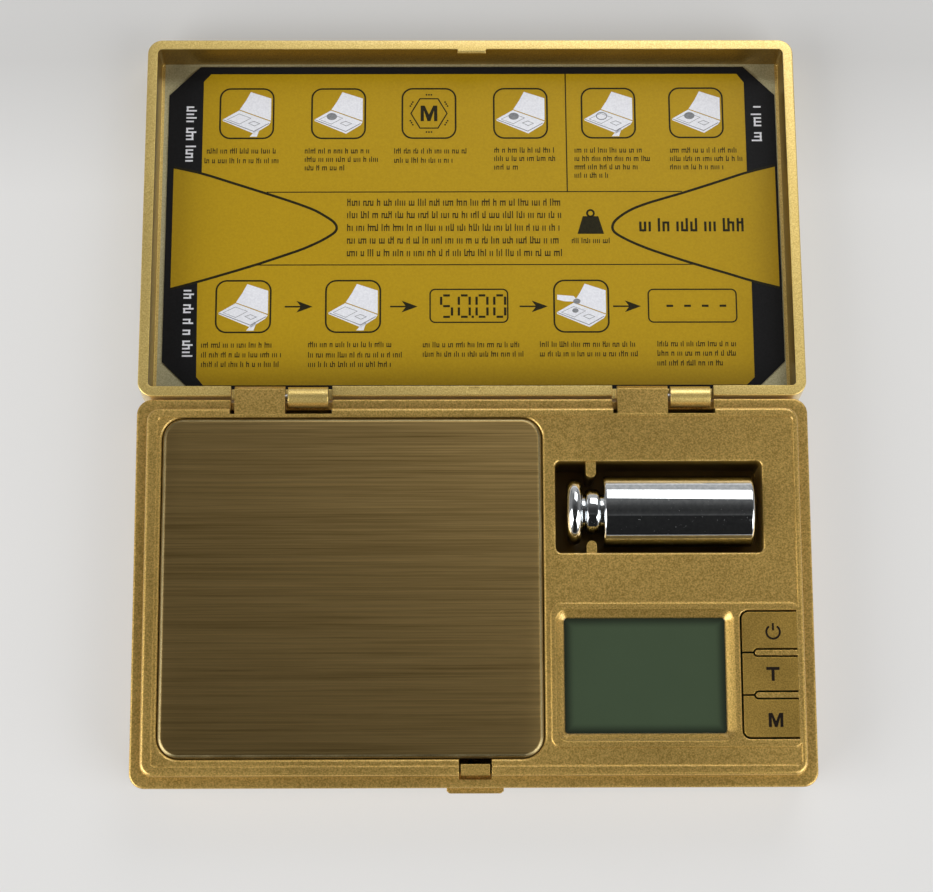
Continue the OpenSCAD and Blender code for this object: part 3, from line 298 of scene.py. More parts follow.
@dataclass(frozen=True)
class BrushFinish:
    """Sheet metal brushed by a belt from side to side.

    Attributes:
        name: the real material and how its surface was made.
        dark: colour in the brush lines.
        light: colour between them.
        line_mm: spacing of the finest lines that the render can show.
        length_mm: length over which a line keeps its tone.
        roughness: roughness between and in the lines.
        relief_mm: depth of the lines.
        anisotropy: stretch of the highlight across the lines.
    """

    name: str
    dark: str
    light: str
    line_mm: float = 0.45
    length_mm: float = 45.0
    roughness: tuple[float, float] = (0.34, 0.44)
    relief_mm: float = 0.004
    anisotropy: float = 0.7

    def build(self) -> bpy.types.Material:
        """Makes the material.

        Returns:
            The new material, with lines along X on object coordinates.
        """
        material, tree, place = new_material(self.name)
        along, across = PER_METRE / self.length_mm, PER_METRE / self.line_mm
        layers = []
        for stretch, squeeze, detail, rise in ((1.0, 1.0, 3.0, 0.7), (0.4, 0.16, 2.0, 0.6)):
            scale = (along * stretch, across * squeeze, across * squeeze)
            laid = add_node(tree, "ShaderNodeMapping", {"Vector": place, "Scale": scale})
            noise = {"Vector": laid.outputs["Vector"], "Scale": 1.0, "Detail": detail, "Roughness": rise}
            layers.append(add_node(tree, "ShaderNodeTexNoise", noise))
        lines, bands = layers
        tone = add_node(tree, "ShaderNodeMix", {0: 0.3, 2: lines.outputs["Fac"], 3: bands.outputs["Fac"]})
        spread = add_node(
            tree, "ShaderNodeMapRange", {"Value": tone.outputs[0], "From Min": 0.33, "From Max": 0.67}
        )
        colour = add_node(tree, "ShaderNodeValToRGB", {"Fac": spread.outputs["Result"]})
        ramp_stops(colour, [(0.0, srgb(self.dark)), (1.0, srgb(self.light))])
        rough = add_node(
            tree,
            "ShaderNodeMapRange",
            {"Value": spread.outputs["Result"], "To Min": self.roughness[1], "To Max": self.roughness[0]},
        )
        relief = {"Strength": 1.0, "Distance": self.relief_mm * MM, "Height": lines.outputs["Fac"]}
        bump = add_node(tree, "ShaderNodeBump", relief)
        across_lines = add_node(
            tree,
            "ShaderNodeVectorTransform",
            {"Vector": (0.0, 1.0, 0.0)},
            vector_type="VECTOR",
            convert_from="OBJECT",
            convert_to="WORLD",
        )
        shader = add_node(
            tree,
            "ShaderNodeBsdfPrincipled",
            {
                "Base Color": colour.outputs["Color"],
                "Metallic": 1.0,
                "Roughness": rough.outputs["Result"],
                "Anisotropic": self.anisotropy,
                "Normal": bump.outputs["Normal"],
                "Tangent": across_lines.outputs["Vector"],
            },
        )
        add_node(tree, "ShaderNodeOutputMaterial", {"Surface": shader.outputs["BSDF"]})
        return material


@dataclass(frozen=True)
class DisplayFinish:
    """Liquid crystal display behind a clear window: dark grey-green, a little lighter in the middle.

    Attributes:
        name: the real material and how its surface was made.
        middle: colour in the middle of the window.
        rim: colour at its edges, where the window shades the glass.
        centre_mm: X and Y of the window's middle.
        half_mm: half of the window's width and depth.
        shade_mm: how far the shade reaches in from the window's edge.
        haze_mm: width of the faint clouds in the glass.
    """

    name: str
    middle: str
    rim: str
    centre_mm: tuple[float, float]
    half_mm: tuple[float, float]
    shade_mm: float = 2.2
    haze_mm: float = 11.1

    def build(self) -> bpy.types.Material:
        """Makes the material.

        Returns:
            The new material, whose shade follows the larger of the two distances from the window's middle lines.
        """
        material, tree, place = new_material(self.name)
        split = add_node(tree, "ShaderNodeSeparateXYZ", {"Vector": place})
        inset = []
        for axis in (0, 1):
            value = split.outputs[axis]
            steps = (("SUBTRACT", 1, self.centre_mm[axis]), ("ABSOLUTE", 1, 0.0), ("SUBTRACT", 0, self.half_mm[axis]))
            for operation, side, length in steps:
                value = add_node(
                    tree, "ShaderNodeMath", {side: length * MM, 1 - side: value}, operation=operation
                ).outputs[0]
            inset.append(value)
        nearest = add_node(tree, "ShaderNodeMath", {0: inset[0], 1: inset[1]}, operation="MINIMUM")
        shade = add_node(
            tree,
            "ShaderNodeMapRange",
            {"Value": nearest.outputs[0], "From Min": 0.0, "From Max": self.shade_mm * MM},
            interpolation_type="SMOOTHSTEP",
        )
        haze = add_node(tree, "ShaderNodeTexNoise", {"Vector": place, "Scale": PER_METRE / self.haze_mm, "Detail": 3.0})
        speck = add_node(tree, "ShaderNodeMix", {0: 0.12, 2: shade.outputs["Result"], 3: haze.outputs["Fac"]})
        colour = add_node(tree, "ShaderNodeValToRGB", {"Fac": speck.outputs[0]})
        ramp_stops(colour, [(0.0, srgb(self.rim)), (1.0, srgb(self.middle))])
        rough = add_node(tree, "ShaderNodeMapRange", {"Value": haze.outputs["Fac"], "To Min": 0.12, "To Max": 0.22})
        shader = add_node(
            tree,
            "ShaderNodeBsdfPrincipled",
            {
                "Base Color": colour.outputs["Color"],
                "Roughness": rough.outputs["Result"],
                "IOR": 1.49,
                "Coat Weight": 0.4,
                "Coat Roughness": 0.05,
            },
        )
        add_node(tree, "ShaderNodeOutputMaterial", {"Surface": shader.outputs["BSDF"]})
        return material


# ABS, spark-eroded mould, gold metallic lacquer: a fine sandy sparkle, satin, deeper in the hollows.
GOLD_CASE = GrainFinish(
    "ABS moulded, gold metallic lacquer", "#A8893E", "#EDC570", metallic=0.8, roughness=(0.34, 0.41),
    grain_mm=0.34, relief_mm=0.01, cloud_mm=24.0, cloud=0.1, coat=0.7, coat_rough=0.13, edge_mm=0.35,
)
# The lid's lacquer lies on a smoother mould, so its sparkle is finer; its colour is set lighter than the case's.
GOLD_LID = GrainFinish(
    "ABS moulded fine, gold metallic lacquer", "#D8B660", "#FFE492", metallic=0.8, roughness=(0.34, 0.4),
    grain_mm=0.28, relief_mm=0.006, cloud_mm=30.0, cloud=0.1, coat=0.7, coat_rough=0.12, edge_mm=0.3,
)
# The keys are rubbed smooth by use, with less grain.
GOLD_KEY = GrainFinish(
    "ABS moulded key, gold metallic lacquer", "#A5853B", "#D6AF56", metallic=0.8, roughness=(0.34, 0.41),
    grain_mm=0.3, relief_mm=0.006, cloud_mm=9.0, cloud=0.15, coat=0.7, coat_rough=0.13, edge_mm=0.25,
)
# Steel sheet brushed by a belt and tinted bronze: long soft lines from side to side.
BRONZE_SHEET = BrushFinish("Steel sheet belt-brushed, bronze tint", "#7A6439", "#CAAB6E")
# The sheet's turned edge: a greyer, flatter bronze than the sheet, without the brush lines.
BRONZE_EDGE = GrainFinish(
    "Steel sheet edge, greyer bronze tone", "#857750", "#AFA078", metallic=1.0, roughness=(0.34, 0.44), grain_mm=0.3,
    relief_mm=0.001, cloud_mm=6.0, cloud=0.3,
)
# Inside the weight's well: the gold lacquer, turning to a dark painted shade towards the bottom of the well.
WELL_PAINTED_SHADE = GrainFinish(
    "ABS dark, gold overspray at the top", "#A28235", "#E8BE5F", metallic=0.85, roughness=(0.36, 0.44),
    grain_mm=0.3, relief_mm=0.01, cloud_mm=5.0, cloud=0.4, coat=0.5, coat_rough=0.2, deep="#6A5222",
    painted=(12.5, 15.5),
)
# The lid's floor beside the card is left silvery by a thinner coat.
LID_FLOOR = GrainFinish(
    "ABS moulded, silver-gold undercoat", "#ABA57E", "#D4CDA6", metallic=0.6, roughness=(0.4, 0.5), grain_mm=0.3,
    relief_mm=0.006, cloud_mm=8.0, cloud=0.3,
)
# The lid's inner walls: a darker copy of the lid's lacquer, as painted shade on the walls.
LID_WALL_SHADE = GrainFinish(
    "ABS moulded, gold lacquer in painted shade", "#694F1A", "#97782E", metallic=0.72, roughness=(0.38, 0.46), grain_mm=0.28,
    relief_mm=0.008, cloud_mm=20.0, cloud=0.2, coat=0.4, coat_rough=0.2,
)
# Steel turned and chrome plated: near mirror, with faint bag marks.
CHROME_STEEL = GrainFinish(
    "Steel turned, chrome plate", "#C9CDD0", "#EDEFF0", metallic=1.0, roughness=(0.02, 0.05), grain_mm=0.9,
    relief_mm=0.0003, cloud_mm=7.0, cloud=0.4, scuff=0.45,
)
# Plain zinc plated steel of the screws and pins: dull grey with a slight bloom.
ZINC_STEEL = GrainFinish(
    "Steel drawn, zinc plate", "#9C9EA0", "#C4C6C7", metallic=1.0, roughness=(0.3, 0.42), grain_mm=0.3,
    relief_mm=0.002, cloud_mm=3.0, cloud=0.4, edge_mm=0.08,
)
# Drawn wire: smooth and a little darker than sheet.
SPRING_STEEL = GrainFinish(
    "Spring wire drawn", "#8C8E90", "#B8BABC", metallic=1.0, roughness=(0.22, 0.32), grain_mm=0.15,
    relief_mm=0.001, cloud_mm=2.0, cloud=0.3,
)
# Thin stamped sheet with a warm plating.
CONTACT_SHEET = GrainFinish(
    "Contact sheet stamped, nickel plate", "#B49F6B", "#D6C692", metallic=1.0, roughness=(0.25, 0.35), grain_mm=0.3,
    relief_mm=0.001, cloud_mm=4.0, cloud=0.4,
)
# Milled bar: fine tool marks, pale.
ALUMINIUM_BAR = GrainFinish(
    "Aluminium milled", "#B4B7BA", "#D3D6D8", metallic=1.0, roughness=(0.28, 0.38), grain_mm=0.25,
    relief_mm=0.002, cloud_mm=8.0, cloud=0.25, edge_mm=0.1,
)
# Poured and left to set: milky, with soft swells.
SILICONE = GrainFinish(
    "Silicone potting poured", "#D9D6CE", "#EFEDE8", roughness=(0.35, 0.5), grain_mm=1.6, relief_mm=0.02, cloud_mm=6.0,
)
# Moulded matt, nearly black.
RUBBER = GrainFinish(
    "Rubber moulded", "#161616", "#2B2B2A", roughness=(0.7, 0.85), grain_mm=0.35, relief_mm=0.01, cloud_mm=5.0,
    cloud=0.3, edge_mm=0.1,
)
# Bare moulded plastic from a plain mould: dark and even.
DARK_ABS = GrainFinish(
    "ABS moulded, unpainted dark", "#26231D", "#38342B", roughness=(0.5, 0.62), grain_mm=0.5, relief_mm=0.008,
    cloud_mm=14.0, edge_mm=0.1,
)
# Solder resist over glass cloth, whose weave shows as a faint ripple.
BOARD = GrainFinish(
    "Fibreglass laminate, green solder resist", "#16472A", "#256A41", roughness=(0.28, 0.4), grain_mm=0.9,
    relief_mm=0.006, cloud_mm=6.0, cloud=0.4, coat=0.3,
)
# A drop that set under its own skin: black and shiny.
EPOXY = GrainFinish(
    "Epoxy blob cured", "#0B0B0B", "#1A1A1A", roughness=(0.15, 0.3), grain_mm=1.5, relief_mm=0.02, cloud_mm=5.0,
)
# Soft vinyl round fine wires: grey and dull.
FLAT_CABLE = GrainFinish(
    "Flat cable, vinyl sheath", "#7E7E7C", "#A8A8A6", roughness=(0.4, 0.55), grain_mm=0.6, relief_mm=0.01, cloud_mm=4.0,
)
# Shrunk film over a steel can: blue, with a clear gloss.
SLEEVE = GrainFinish(
    "Battery sleeve, printed film", "#2C4563", "#44638A", roughness=(0.25, 0.35), grain_mm=1.2, relief_mm=0.003,
    cloud_mm=9.0, cloud=0.3, coat=0.4,
)
# Matt white film that spreads light.
WHITE_FILM = GrainFinish(
    "Reflector film, white", "#DEDDD8", "#F4F3EF", roughness=(0.45, 0.6), grain_mm=0.8, relief_mm=0.002, cloud_mm=9.0,
)
# Thin layers of conducting and plain rubber, seen as fine stripes.
STRIP_RUBBER = GrainFinish(
    "Contact strip, layered rubber", "#2A2A2A", "#5E5E5E", roughness=(0.6, 0.75), grain_mm=0.12, relief_mm=0.004,
    cloud_mm=3.0,
)
# Flat glass, green-grey at rest, with a clear gloss.
CRYSTAL = GrainFinish(
    "Display glass, float", "#39453A", "#4B594A", roughness=(0.08, 0.14), grain_mm=2.0, relief_mm=0.0005,
    cloud_mm=9.0, coat=0.5,
)
# Laminated card stock: the film over the ink gives it a soft gloss, and the black ground is not quite black.
CARD_BLACK = GrainFinish(
    "Card stock, black ink, laminated", "#151516", "#1C1C1D", roughness=(0.4, 0.52), grain_mm=0.5, relief_mm=0.001,
    cloud_mm=22.0, cloud=0.3, shine=0.12,
)
# Ochre printed solid under the film: even, with slow clouds in its shine.
INK_YELLOW = GrainFinish(
    "Card stock, ochre ink, laminated", "#A68510", "#B49313", roughness=(0.36, 0.46), grain_mm=0.5, relief_mm=0.001,
    cloud_mm=30.0, cloud=0.4, shine=0.2,
)
# Offset ink under the same film: thin, even and with little shine of its own.
INK_BLACK = GrainFinish(
    "Card ink, black", "#1B1808", "#2A2610", roughness=(0.4, 0.5), grain_mm=0.4, relief_mm=0.0005, cloud_mm=12.0,
    shine=0.15,
)
# Small print, whose screen lets some of the ochre through.
INK_BROWN = replace(INK_BLACK, name="Card ink, fine black screen", dark="#2C230C", light="#3A2E10")
INK_WHITE = replace(INK_BLACK, name="Card ink, white", dark="#DCDDE3", light="#ECEDF2")
INK_GREY = replace(INK_BLACK, name="Card ink, grey", dark="#77797C", light="#8D8F92")
# Pad-printed key legends: matt black, a hair above the lacquer.
PAD_INK = GrainFinish(
    "Pad print, black", "#120B04", "#1C1208", roughness=(0.5, 0.6), grain_mm=0.25, relief_mm=0.002, cloud_mm=3.0,
    shine=0.15,
)


# ---------------------------------------------------------------------------------------------------------------
# Meshes
# ---------------------------------------------------------------------------------------------------------------


def mesh_object(name: str, points: np.ndarray, faces: list, smooth: bool = False) -> bpy.types.Object:
    """Makes an object from points in millimetres.

    Args:
        name: name of the piece.
        points: n by 3 array.
        faces: rows of vertex numbers, counter-clockwise seen from outside.
        smooth: whether the faces are shaded as one curve.

    Returns:
        The linked object, at the origin.
    """
    mesh = bpy.data.meshes.new(name)
    mesh.from_pydata((np.asarray(points, float) * MM).tolist(), [], [list(map(int, f)) for f in faces])
    mesh.polygons.foreach_set("use_smooth", np.full(len(mesh.polygons), smooth))
    mesh.update()
    obj = bpy.data.objects.new(name, mesh)
    bpy.context.scene.collection.objects.link(obj)
    return obj


def ellipse(turn: np.ndarray | float, width: float, depth: float) -> np.ndarray:
    """Points of an ellipse around the origin: half its width by the cosine, and half its depth by the sine."""
    return np.stack([np.cos(turn) * width, np.sin(turn) * depth], -1)


def at_height(flat: np.ndarray, height: float) -> np.ndarray:
    """Gives flat points a height as their third coordinate."""
    return np.concatenate([flat, np.full((*flat.shape[:-1], 1), height)], -1)


def rounded_path(width: float, depth: float, radius: float, steps: int = 8) -> np.ndarray:
    """Outline of a rectangle with round corners, counter-clockwise.

    Each corner is a quarter circle of equal steps, and the straight sides join the corners.

    Args:
        width: size along the first axis.
        depth: size along the second axis.
        radius: radius of the corners.
        steps: points of a corner less one.

    Returns:
        n by 2 array of points around the origin.
    """
    arc = ellipse(np.linspace(0.0, math.pi / 2, steps + 1), radius, radius)
    corner = np.array([width / 2 - radius, depth / 2 - radius])
    quarter = [np.array([[c, -s], [s, c]]) for c, s in ((1, 0), (0, 1), (-1, 0), (0, -1))]
    signs = ((1, 1), (-1, 1), (-1, -1), (1, -1))
    return np.concatenate([arc @ spin.T + corner * sign for spin, sign in zip(quarter, signs)])


def smooth_curve(knots: np.ndarray, steps: int = 10) -> np.ndarray:
    """Catmull-Rom curve through the knots.

    Each span is the cubic whose end slopes are half the chord between the neighbouring knots.

    Args:
        knots: n by 2 array.
        steps: points per span.

    Returns:
        Points along the curve.
    """
    padded = np.concatenate([2 * knots[:1] - knots[1:2], knots, 2 * knots[-1:] - knots[-2:-1]])
    before, start, end, after = (padded[i : len(padded) - 3 + i, None] for i in range(4))
    t = np.linspace(0.0, 1.0, steps, endpoint=False)[None, :, None]
    curve = 0.5 * (
        2 * start
        + (end - before) * t
        + (2 * before - 5 * start + 4 * end - after) * t**2
        + (3 * start - before - 3 * end + after) * t**3
    )
    return np.concatenate([curve.reshape(-1, 2), knots[-1:]])


@dataclass
class Print:
    """Thin ink shapes gathered into one mesh, drawn on a plane and a hair thick.

    Attributes:
        floor: height of the lower side of the ink over the plane.
        roof: height of its upper side.
        points: gathered points, as x, y and height.
        faces: gathered faces.
        count: number of gathered points.
    """

    floor: float = 0.0
    roof: float = 0.03
    points: list = field(default_factory=list)
    faces: list = field(default_factory=list)
    count: int = 0

    def add(self, points: np.ndarray, faces: list | np.ndarray) -> None:
        """Gathers points, and faces numbered from the first of them."""
        self.points.append(points)
        self.faces += [(np.asarray(face) + self.count).tolist() for face in faces]
        self.count += len(points)

    def fill(self, outline: np.ndarray) -> None:
        """Adds a filled shape.

        The outline is carried up from the floor to the roof and closed by one face at each end.

        Args:
            outline: n by 2 array, in either direction.
        """
        outline = np.asarray(outline, float)
        following = np.roll(outline, -1, 0)
        if np.sum(outline[:, 0] * following[:, 1] - following[:, 0] * outline[:, 1]) < 0:
            outline = outline[::-1]
        n = len(outline)
        here = np.arange(n)
        there = (here + 1) % n
        walls = np.stack([here, there, there + n, here + n], 1)
        both = np.concatenate([at_height(outline, self.floor), at_height(outline, self.roof)])
        self.add(both, [here[::-1], n + here, *walls])

    def stroke(self, path: np.ndarray, width: float, closed: bool = False) -> None:
        """Adds a line of even width.

        The path is carried to both sides along the mitred normal, and the four edges run along it as a grid.

        Args:
            path: n by 2 array.
            width: width of the line.
            closed: whether the path's end meets its start.
        """
        path = np.asarray(path, float)
        ahead = np.roll(path, -1, 0) - path
        if not closed:
            ahead[-1] = ahead[-2]
        ahead /= np.linalg.norm(ahead, axis=1)[:, None]
        behind = np.roll(ahead, 1, 0)
        if not closed:
            behind[0] = ahead[0]
        normal = np.column_stack([-(ahead + behind)[:, 1], (ahead + behind)[:, 0]])
        normal /= np.linalg.norm(normal, axis=1)[:, None]
        side = np.column_stack([-ahead[:, 1], ahead[:, 0]])
        normal *= (width / 2 / np.clip(np.sum(normal * side, 1), 0.5, 1.0))[:, None]
        edges = ((-1, self.floor), (-1, self.roof), (1, self.roof), (1, self.floor))
        rows = np.stack([at_height(path + sign * normal, height) for sign, height in edges], 1)
        n = len(path)
        here = np.arange(n if closed else n - 1)[:, None] * 4
        there = (here + 4) % (4 * n)
        j = np.arange(4)
        k = (j + 1) % 4
        quads = np.stack([there + j, there + k, here + k, here + j], -1).reshape(-1, 4)
        ends = [] if closed else [j, 4 * n - 1 - j]
        self.add(rows.reshape(-1, 3), [*quads, *ends])

    def boxes(self, centres: np.ndarray, sizes: np.ndarray) -> None:
        """Adds many small upright rectangles in one go.

        Args:
            centres: n by 2 array.
            sizes: n by 2 array of widths and heights.
        """
        signs = np.array([[-1, -1], [1, -1], [1, 1], [-1, 1]]) / 2
        corner = centres[:, None] + signs * sizes[:, None]
        both = np.concatenate([at_height(corner, self.floor), at_height(corner, self.roof)], 1)
        sides = np.array([[3, 2, 1, 0], [4, 5, 6, 7], [0, 1, 5, 4], [1, 2, 6, 5], [2, 3, 7, 6], [3, 0, 4, 7]])
        self.add(both.reshape(-1, 3), (8 * np.arange(len(centres))[:, None, None] + sides).reshape(-1, 4))

    def build(self, name: str, place: "Plane", finish: GrainFinish, body: str) -> bpy.types.Object:
        """Makes the ink's object on its plane.

        Args:
            name: name of the piece.
            place: plane that the ink lies on.
            finish: finish of the ink.
            body: body that it rides on.

        Returns:
            The finished object.
        """
        obj = mesh_object(name, place.lift(np.concatenate(self.points)), self.faces)
        obj.data.materials.append(finish.build())
        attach(obj, body)
        log.info("%s: %d faces", name, len(self.faces))
        return obj


@dataclass(frozen=True)
class Plane:
    """A plane that turns about the X axis, on which prints are drawn.

    Attributes:
        origin: where the drawing's origin lies, in millimetres.
        tilt: angle by which the drawing's Y axis dips below the horizon, in degrees.
    """

    origin: tuple[float, float, float]
    tilt: float = 0.0

    def lift(self, flat: np.ndarray) -> np.ndarray:
        """Puts drawn points in the row frame.

        Y runs along the plane, and the height stands on it.

        Args:
            flat: n by 3 array of x, y and height.

        Returns:
            n by 3 array in the row frame.
        """
        c, s = math.cos(math.radians(self.tilt)), math.sin(math.radians(self.tilt))
        x, y, h = flat.T
        return np.stack([x, y * c + h * s, h * c - y * s], 1) + np.array(self.origin)


# ---------------------------------------------------------------------------------------------------------------
# Sub-assemblies
# ---------------------------------------------------------------------------------------------------------------


@dataclass
class CaseShells:
    """The moulded case: bottom shell, top shell, lid, battery door and latch.

    Attributes:
        well: box around the lower part of the weight's well.
        lid_floor: box around the floor of the lid.
        lid_walls: box around the inner walls of the lid.
        level: range of a normal's height on a floor.
        upright: range of it on a wall.
    """

    well: Box = ((16.9, -34.5, 3.0), (60.5, -12.5, 15.4))
    lid_floor: Box = ((-68.0, 2.0, 0.5), (68.0, 82.0, 8.5))
    lid_walls: Box = ((-69.6, 1.5, 0.5), (69.6, 80.5, 24.0))
    level: tuple[float, float] = (0.9, 1.1)
    upright: tuple[float, float] = (-0.3, 0.3)

    def dress(self, nodes: dict[str, bpy.types.Object]) -> None:
        """Gives the shells their lacquer.

        Args:
            nodes: the CAD nodes by name.
        """
        case = GOLD_CASE.build()
        for name in ("base_tub", "battery_door", "latch_button"):
            smooth_skin(nodes[name], case)
        # The well's faces take the lacquer that darkens into painted shade towards the bottom of the well.
        paint_faces(smooth_skin(nodes["top_shell"], case), WELL_PAINTED_SHADE, self.well)
        cover = smooth_skin(nodes["lid_shell"], GOLD_LID.build())
        paint_faces(cover, LID_FLOOR, self.lid_floor, self.level)
        # The lid's inner walls get the darker lacquer copy: painted shade.
        paint_faces(cover, LID_WALL_SHADE, self.lid_walls, self.upright)


def smooth_skin(
    node: bpy.types.Object, material: bpy.types.Material, sharp_deg: float = 32.0, ride: bool = True
) -> bpy.types.Object:
    """Replaces a CAD node by its own shape with the triangles joined and the curves shaded smooth.

    Args:
        node: the CAD node, whose body the skin rides on.
        material: finish of the skin.
        sharp_deg: angle past which an edge stays sharp.
        ride: false for a skin that is left unattached to any body.

    Returns:
        The skin's object.
    """
    mesh = node.data.copy()
    build = bmesh.new()
    build.from_mesh(mesh)
    bmesh.ops.remove_doubles(build, verts=build.verts, dist=1e-6)
    for face in build.faces:
        face.smooth = True
    limit = math.radians(sharp_deg)
    for edge in build.edges:
        edge.smooth = len(edge.link_faces) == 2 and edge.calc_face_angle(0.0) < limit
    build.to_mesh(mesh)
    build.free()
    mesh.materials.clear()
    mesh.materials.append(material)
    skin = bpy.data.objects.new(node.name + "_skin", mesh)
    bpy.context.scene.collection.objects.link(skin)
    if ride:
        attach(skin, node["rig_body"])
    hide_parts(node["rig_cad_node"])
    return skin


def grow_sideways(skin: bpy.types.Object, film: float) -> None:
    """Grows a skin in X and Y about its middle, by the film on its edge.

    Args:
        skin: the skin.
        film: growth of each side in millimetres.
    """
    mesh = skin.data
    points = np.zeros(len(mesh.vertices) * 3)
    mesh.vertices.foreach_get("co", points)
    points = points.reshape(-1, 3)
    middle = (points.min(0) + points.max(0)) / 2
    half = (points.max(0) - points.min(0)) / 2
    factor = 1.0 + np.array([film, film, 0.0]) * MM / half
    mesh.vertices.foreach_set("co", ((points - middle) * factor + middle).ravel())
    mesh.update()


def paint_faces(
    skin: bpy.types.Object, finish: GrainFinish, box: Box, up: tuple[float, float] = (-1.1, 1.1)
) -> None:
    """Gives a second finish to the faces of a skin inside a box.

    A face is taken if its centre lies in the box and the height of its normal in the given range.

    Args:
        skin: object whose faces are chosen.
        finish: the second finish.
        box: lowest and highest corner of the box, in millimetres.
        up: range of the normal's Z.
    """
    mesh = skin.data
    mesh.materials.append(finish.build())
    centres = np.array([face.center[:] for face in mesh.polygons]) / MM
    lift = np.array([face.normal.z for face in mesh.polygons])
    chosen = np.all((centres > box[0]) & (centres < box[1]), 1) & (lift > up[0]) & (lift < up[1])
    slots = np.zeros(len(chosen), np.int32)
    mesh.polygons.foreach_get("material_index", slots)
    slots[chosen] = len(mesh.materials) - 1
    mesh.polygons.foreach_set("material_index", slots)
    log.info("%s: %d faces in %s", skin.name, int(chosen.sum()), finish.name)


def dress(node: bpy.types.Object, material: bpy.types.Material) -> None:
    """Gives a CAD node a finish in place of its own."""
    for slot in node.material_slots:
        slot.material = material


@dataclass
class Weight:
    """Turned calibration weight, lying along X: a head, a neck with a ring and a body.

    Attributes:
        axis: Y and Z of its axis.
        start: X of the head's end.
        head: length and radius of the head.
        neck: length of the neck and radius of its ring.
        body: length and radius of the body.
        sides: points around.
        head_edge: radius of the head's rounded rim.
        body_edge: radius of the body's rounded ends.
        groove: width of the two grooves beside the neck's ring.
        groove_share: their radius as a share of the ring's.
    """

    axis: tuple[float, float]
    start: float
    head: tuple[float, float] = (3.28, 6.95)
    neck: tuple[float, float] = (4.4, 4.8)
    body: tuple[float, float] = (31.35, 7.5)
    sides: int = 128
    head_edge: float = 1.6
    body_edge: float = 0.6
    groove: float = 0.55
    groove_share: float = 0.78

    @staticmethod
    def drum(start: float, length: float, radius: float, edge: float) -> np.ndarray:
        """Half section of a disc with two rounded rims, each a quarter circle.

        Args:
            start: where it starts on the axis.
            length: its length.
            radius: its radius.
            edge: radius of its rims.

        Returns:
            n by 2 array of distance along the axis and radius.
        """
        quarter = np.linspace(0.0, math.pi / 2, 9)
        rise, run = edge * np.sin(quarter), edge * np.cos(quarter)
        near = np.stack([start + edge - run, radius - edge + rise], 1)
        far = np.stack([start + length - edge + rise, radius - edge + run], 1)
        return np.concatenate([near, far])

    def profile(self) -> np.ndarray:
        """Half section from the head's end to the body's.

        The neck is a ring between two grooves, whose radius grows from the grooves' as the square root of one less the
        fourth power of the distance from its middle.

        Returns:
            n by 2 array of distance along the axis and radius.
        """
        head_end = self.head[0]
        body_start = head_end + self.neck[0]
        near, far = head_end + self.groove, body_start - self.groove
        low = self.neck[1] * self.groove_share
        across = np.sin(np.linspace(-math.pi / 2, math.pi / 2, 25))
        swell = low + (self.neck[1] - low) * np.sqrt(1.0 - across**4)
        ring = np.stack([(near + far) / 2 + (far - near) / 2 * across, swell], 1)
        head = self.drum(0.0, *self.head, self.head_edge)
        body = self.drum(body_start, *self.body, self.body_edge)
        return np.concatenate([head, [[head_end, low]], ring, [[body_start, low]], body])

    def build(self) -> None:
        """Turns the profile about the weight's axis and puts it in the place of its solid."""
        along, radius = self.profile().T
        angle = np.linspace(0.0, 2 * math.pi, self.sides, endpoint=False)
        hoop = self.axis + radius[:, None, None] * ellipse(angle, 1.0, 1.0)
        depth = np.broadcast_to(self.start + along[:, None, None], (*hoop.shape[:2], 1))
        poles = [[self.start, *self.axis], [self.start + along[-1], *self.axis]]
        points = np.concatenate([np.concatenate([depth, hoop], -1).reshape(-1, 3), poles])
        here = np.arange(self.sides)
        there = (here + 1) % self.sides
        row = np.arange(len(along) - 1)[:, None] * self.sides
        next_row = row + self.sides
        quads = np.stack([row + here, row + there, next_row + there, next_row + here], -1).reshape(-1, 4).tolist()
        last = (len(along) - 1) * self.sides
        centre = np.full_like(here, last + self.sides)
        fans = [[there, here, centre], [last + here, last + there, centre + 1]]
        caps = np.concatenate([np.stack(fan, 1) for fan in fans]).tolist()
        obj = mesh_object("turned_weight", points, quads + caps, smooth=True)
        recalculate(obj, 30.0)
        obj.data.materials.append(CHROME_STEEL.build())
        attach(obj, "weight")
        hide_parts("calibration_weight")


def recalculate(obj: bpy.types.Object, sharp_deg: float) -> None:
    """Turns a mesh's faces outwards and keeps its edges past an angle sharp.

    Args:
        obj: a closed mesh.
        sharp_deg: angle past which an edge stays sharp.
    """
    build = bmesh.new()
    build.from_mesh(obj.data)
    bmesh.ops.recalc_face_normals(build, faces=build.faces)
    for edge in build.edges:
        edge.smooth = edge.calc_face_angle(0.0) < math.radians(sharp_deg)
    build.to_mesh(obj.data)
    build.free()


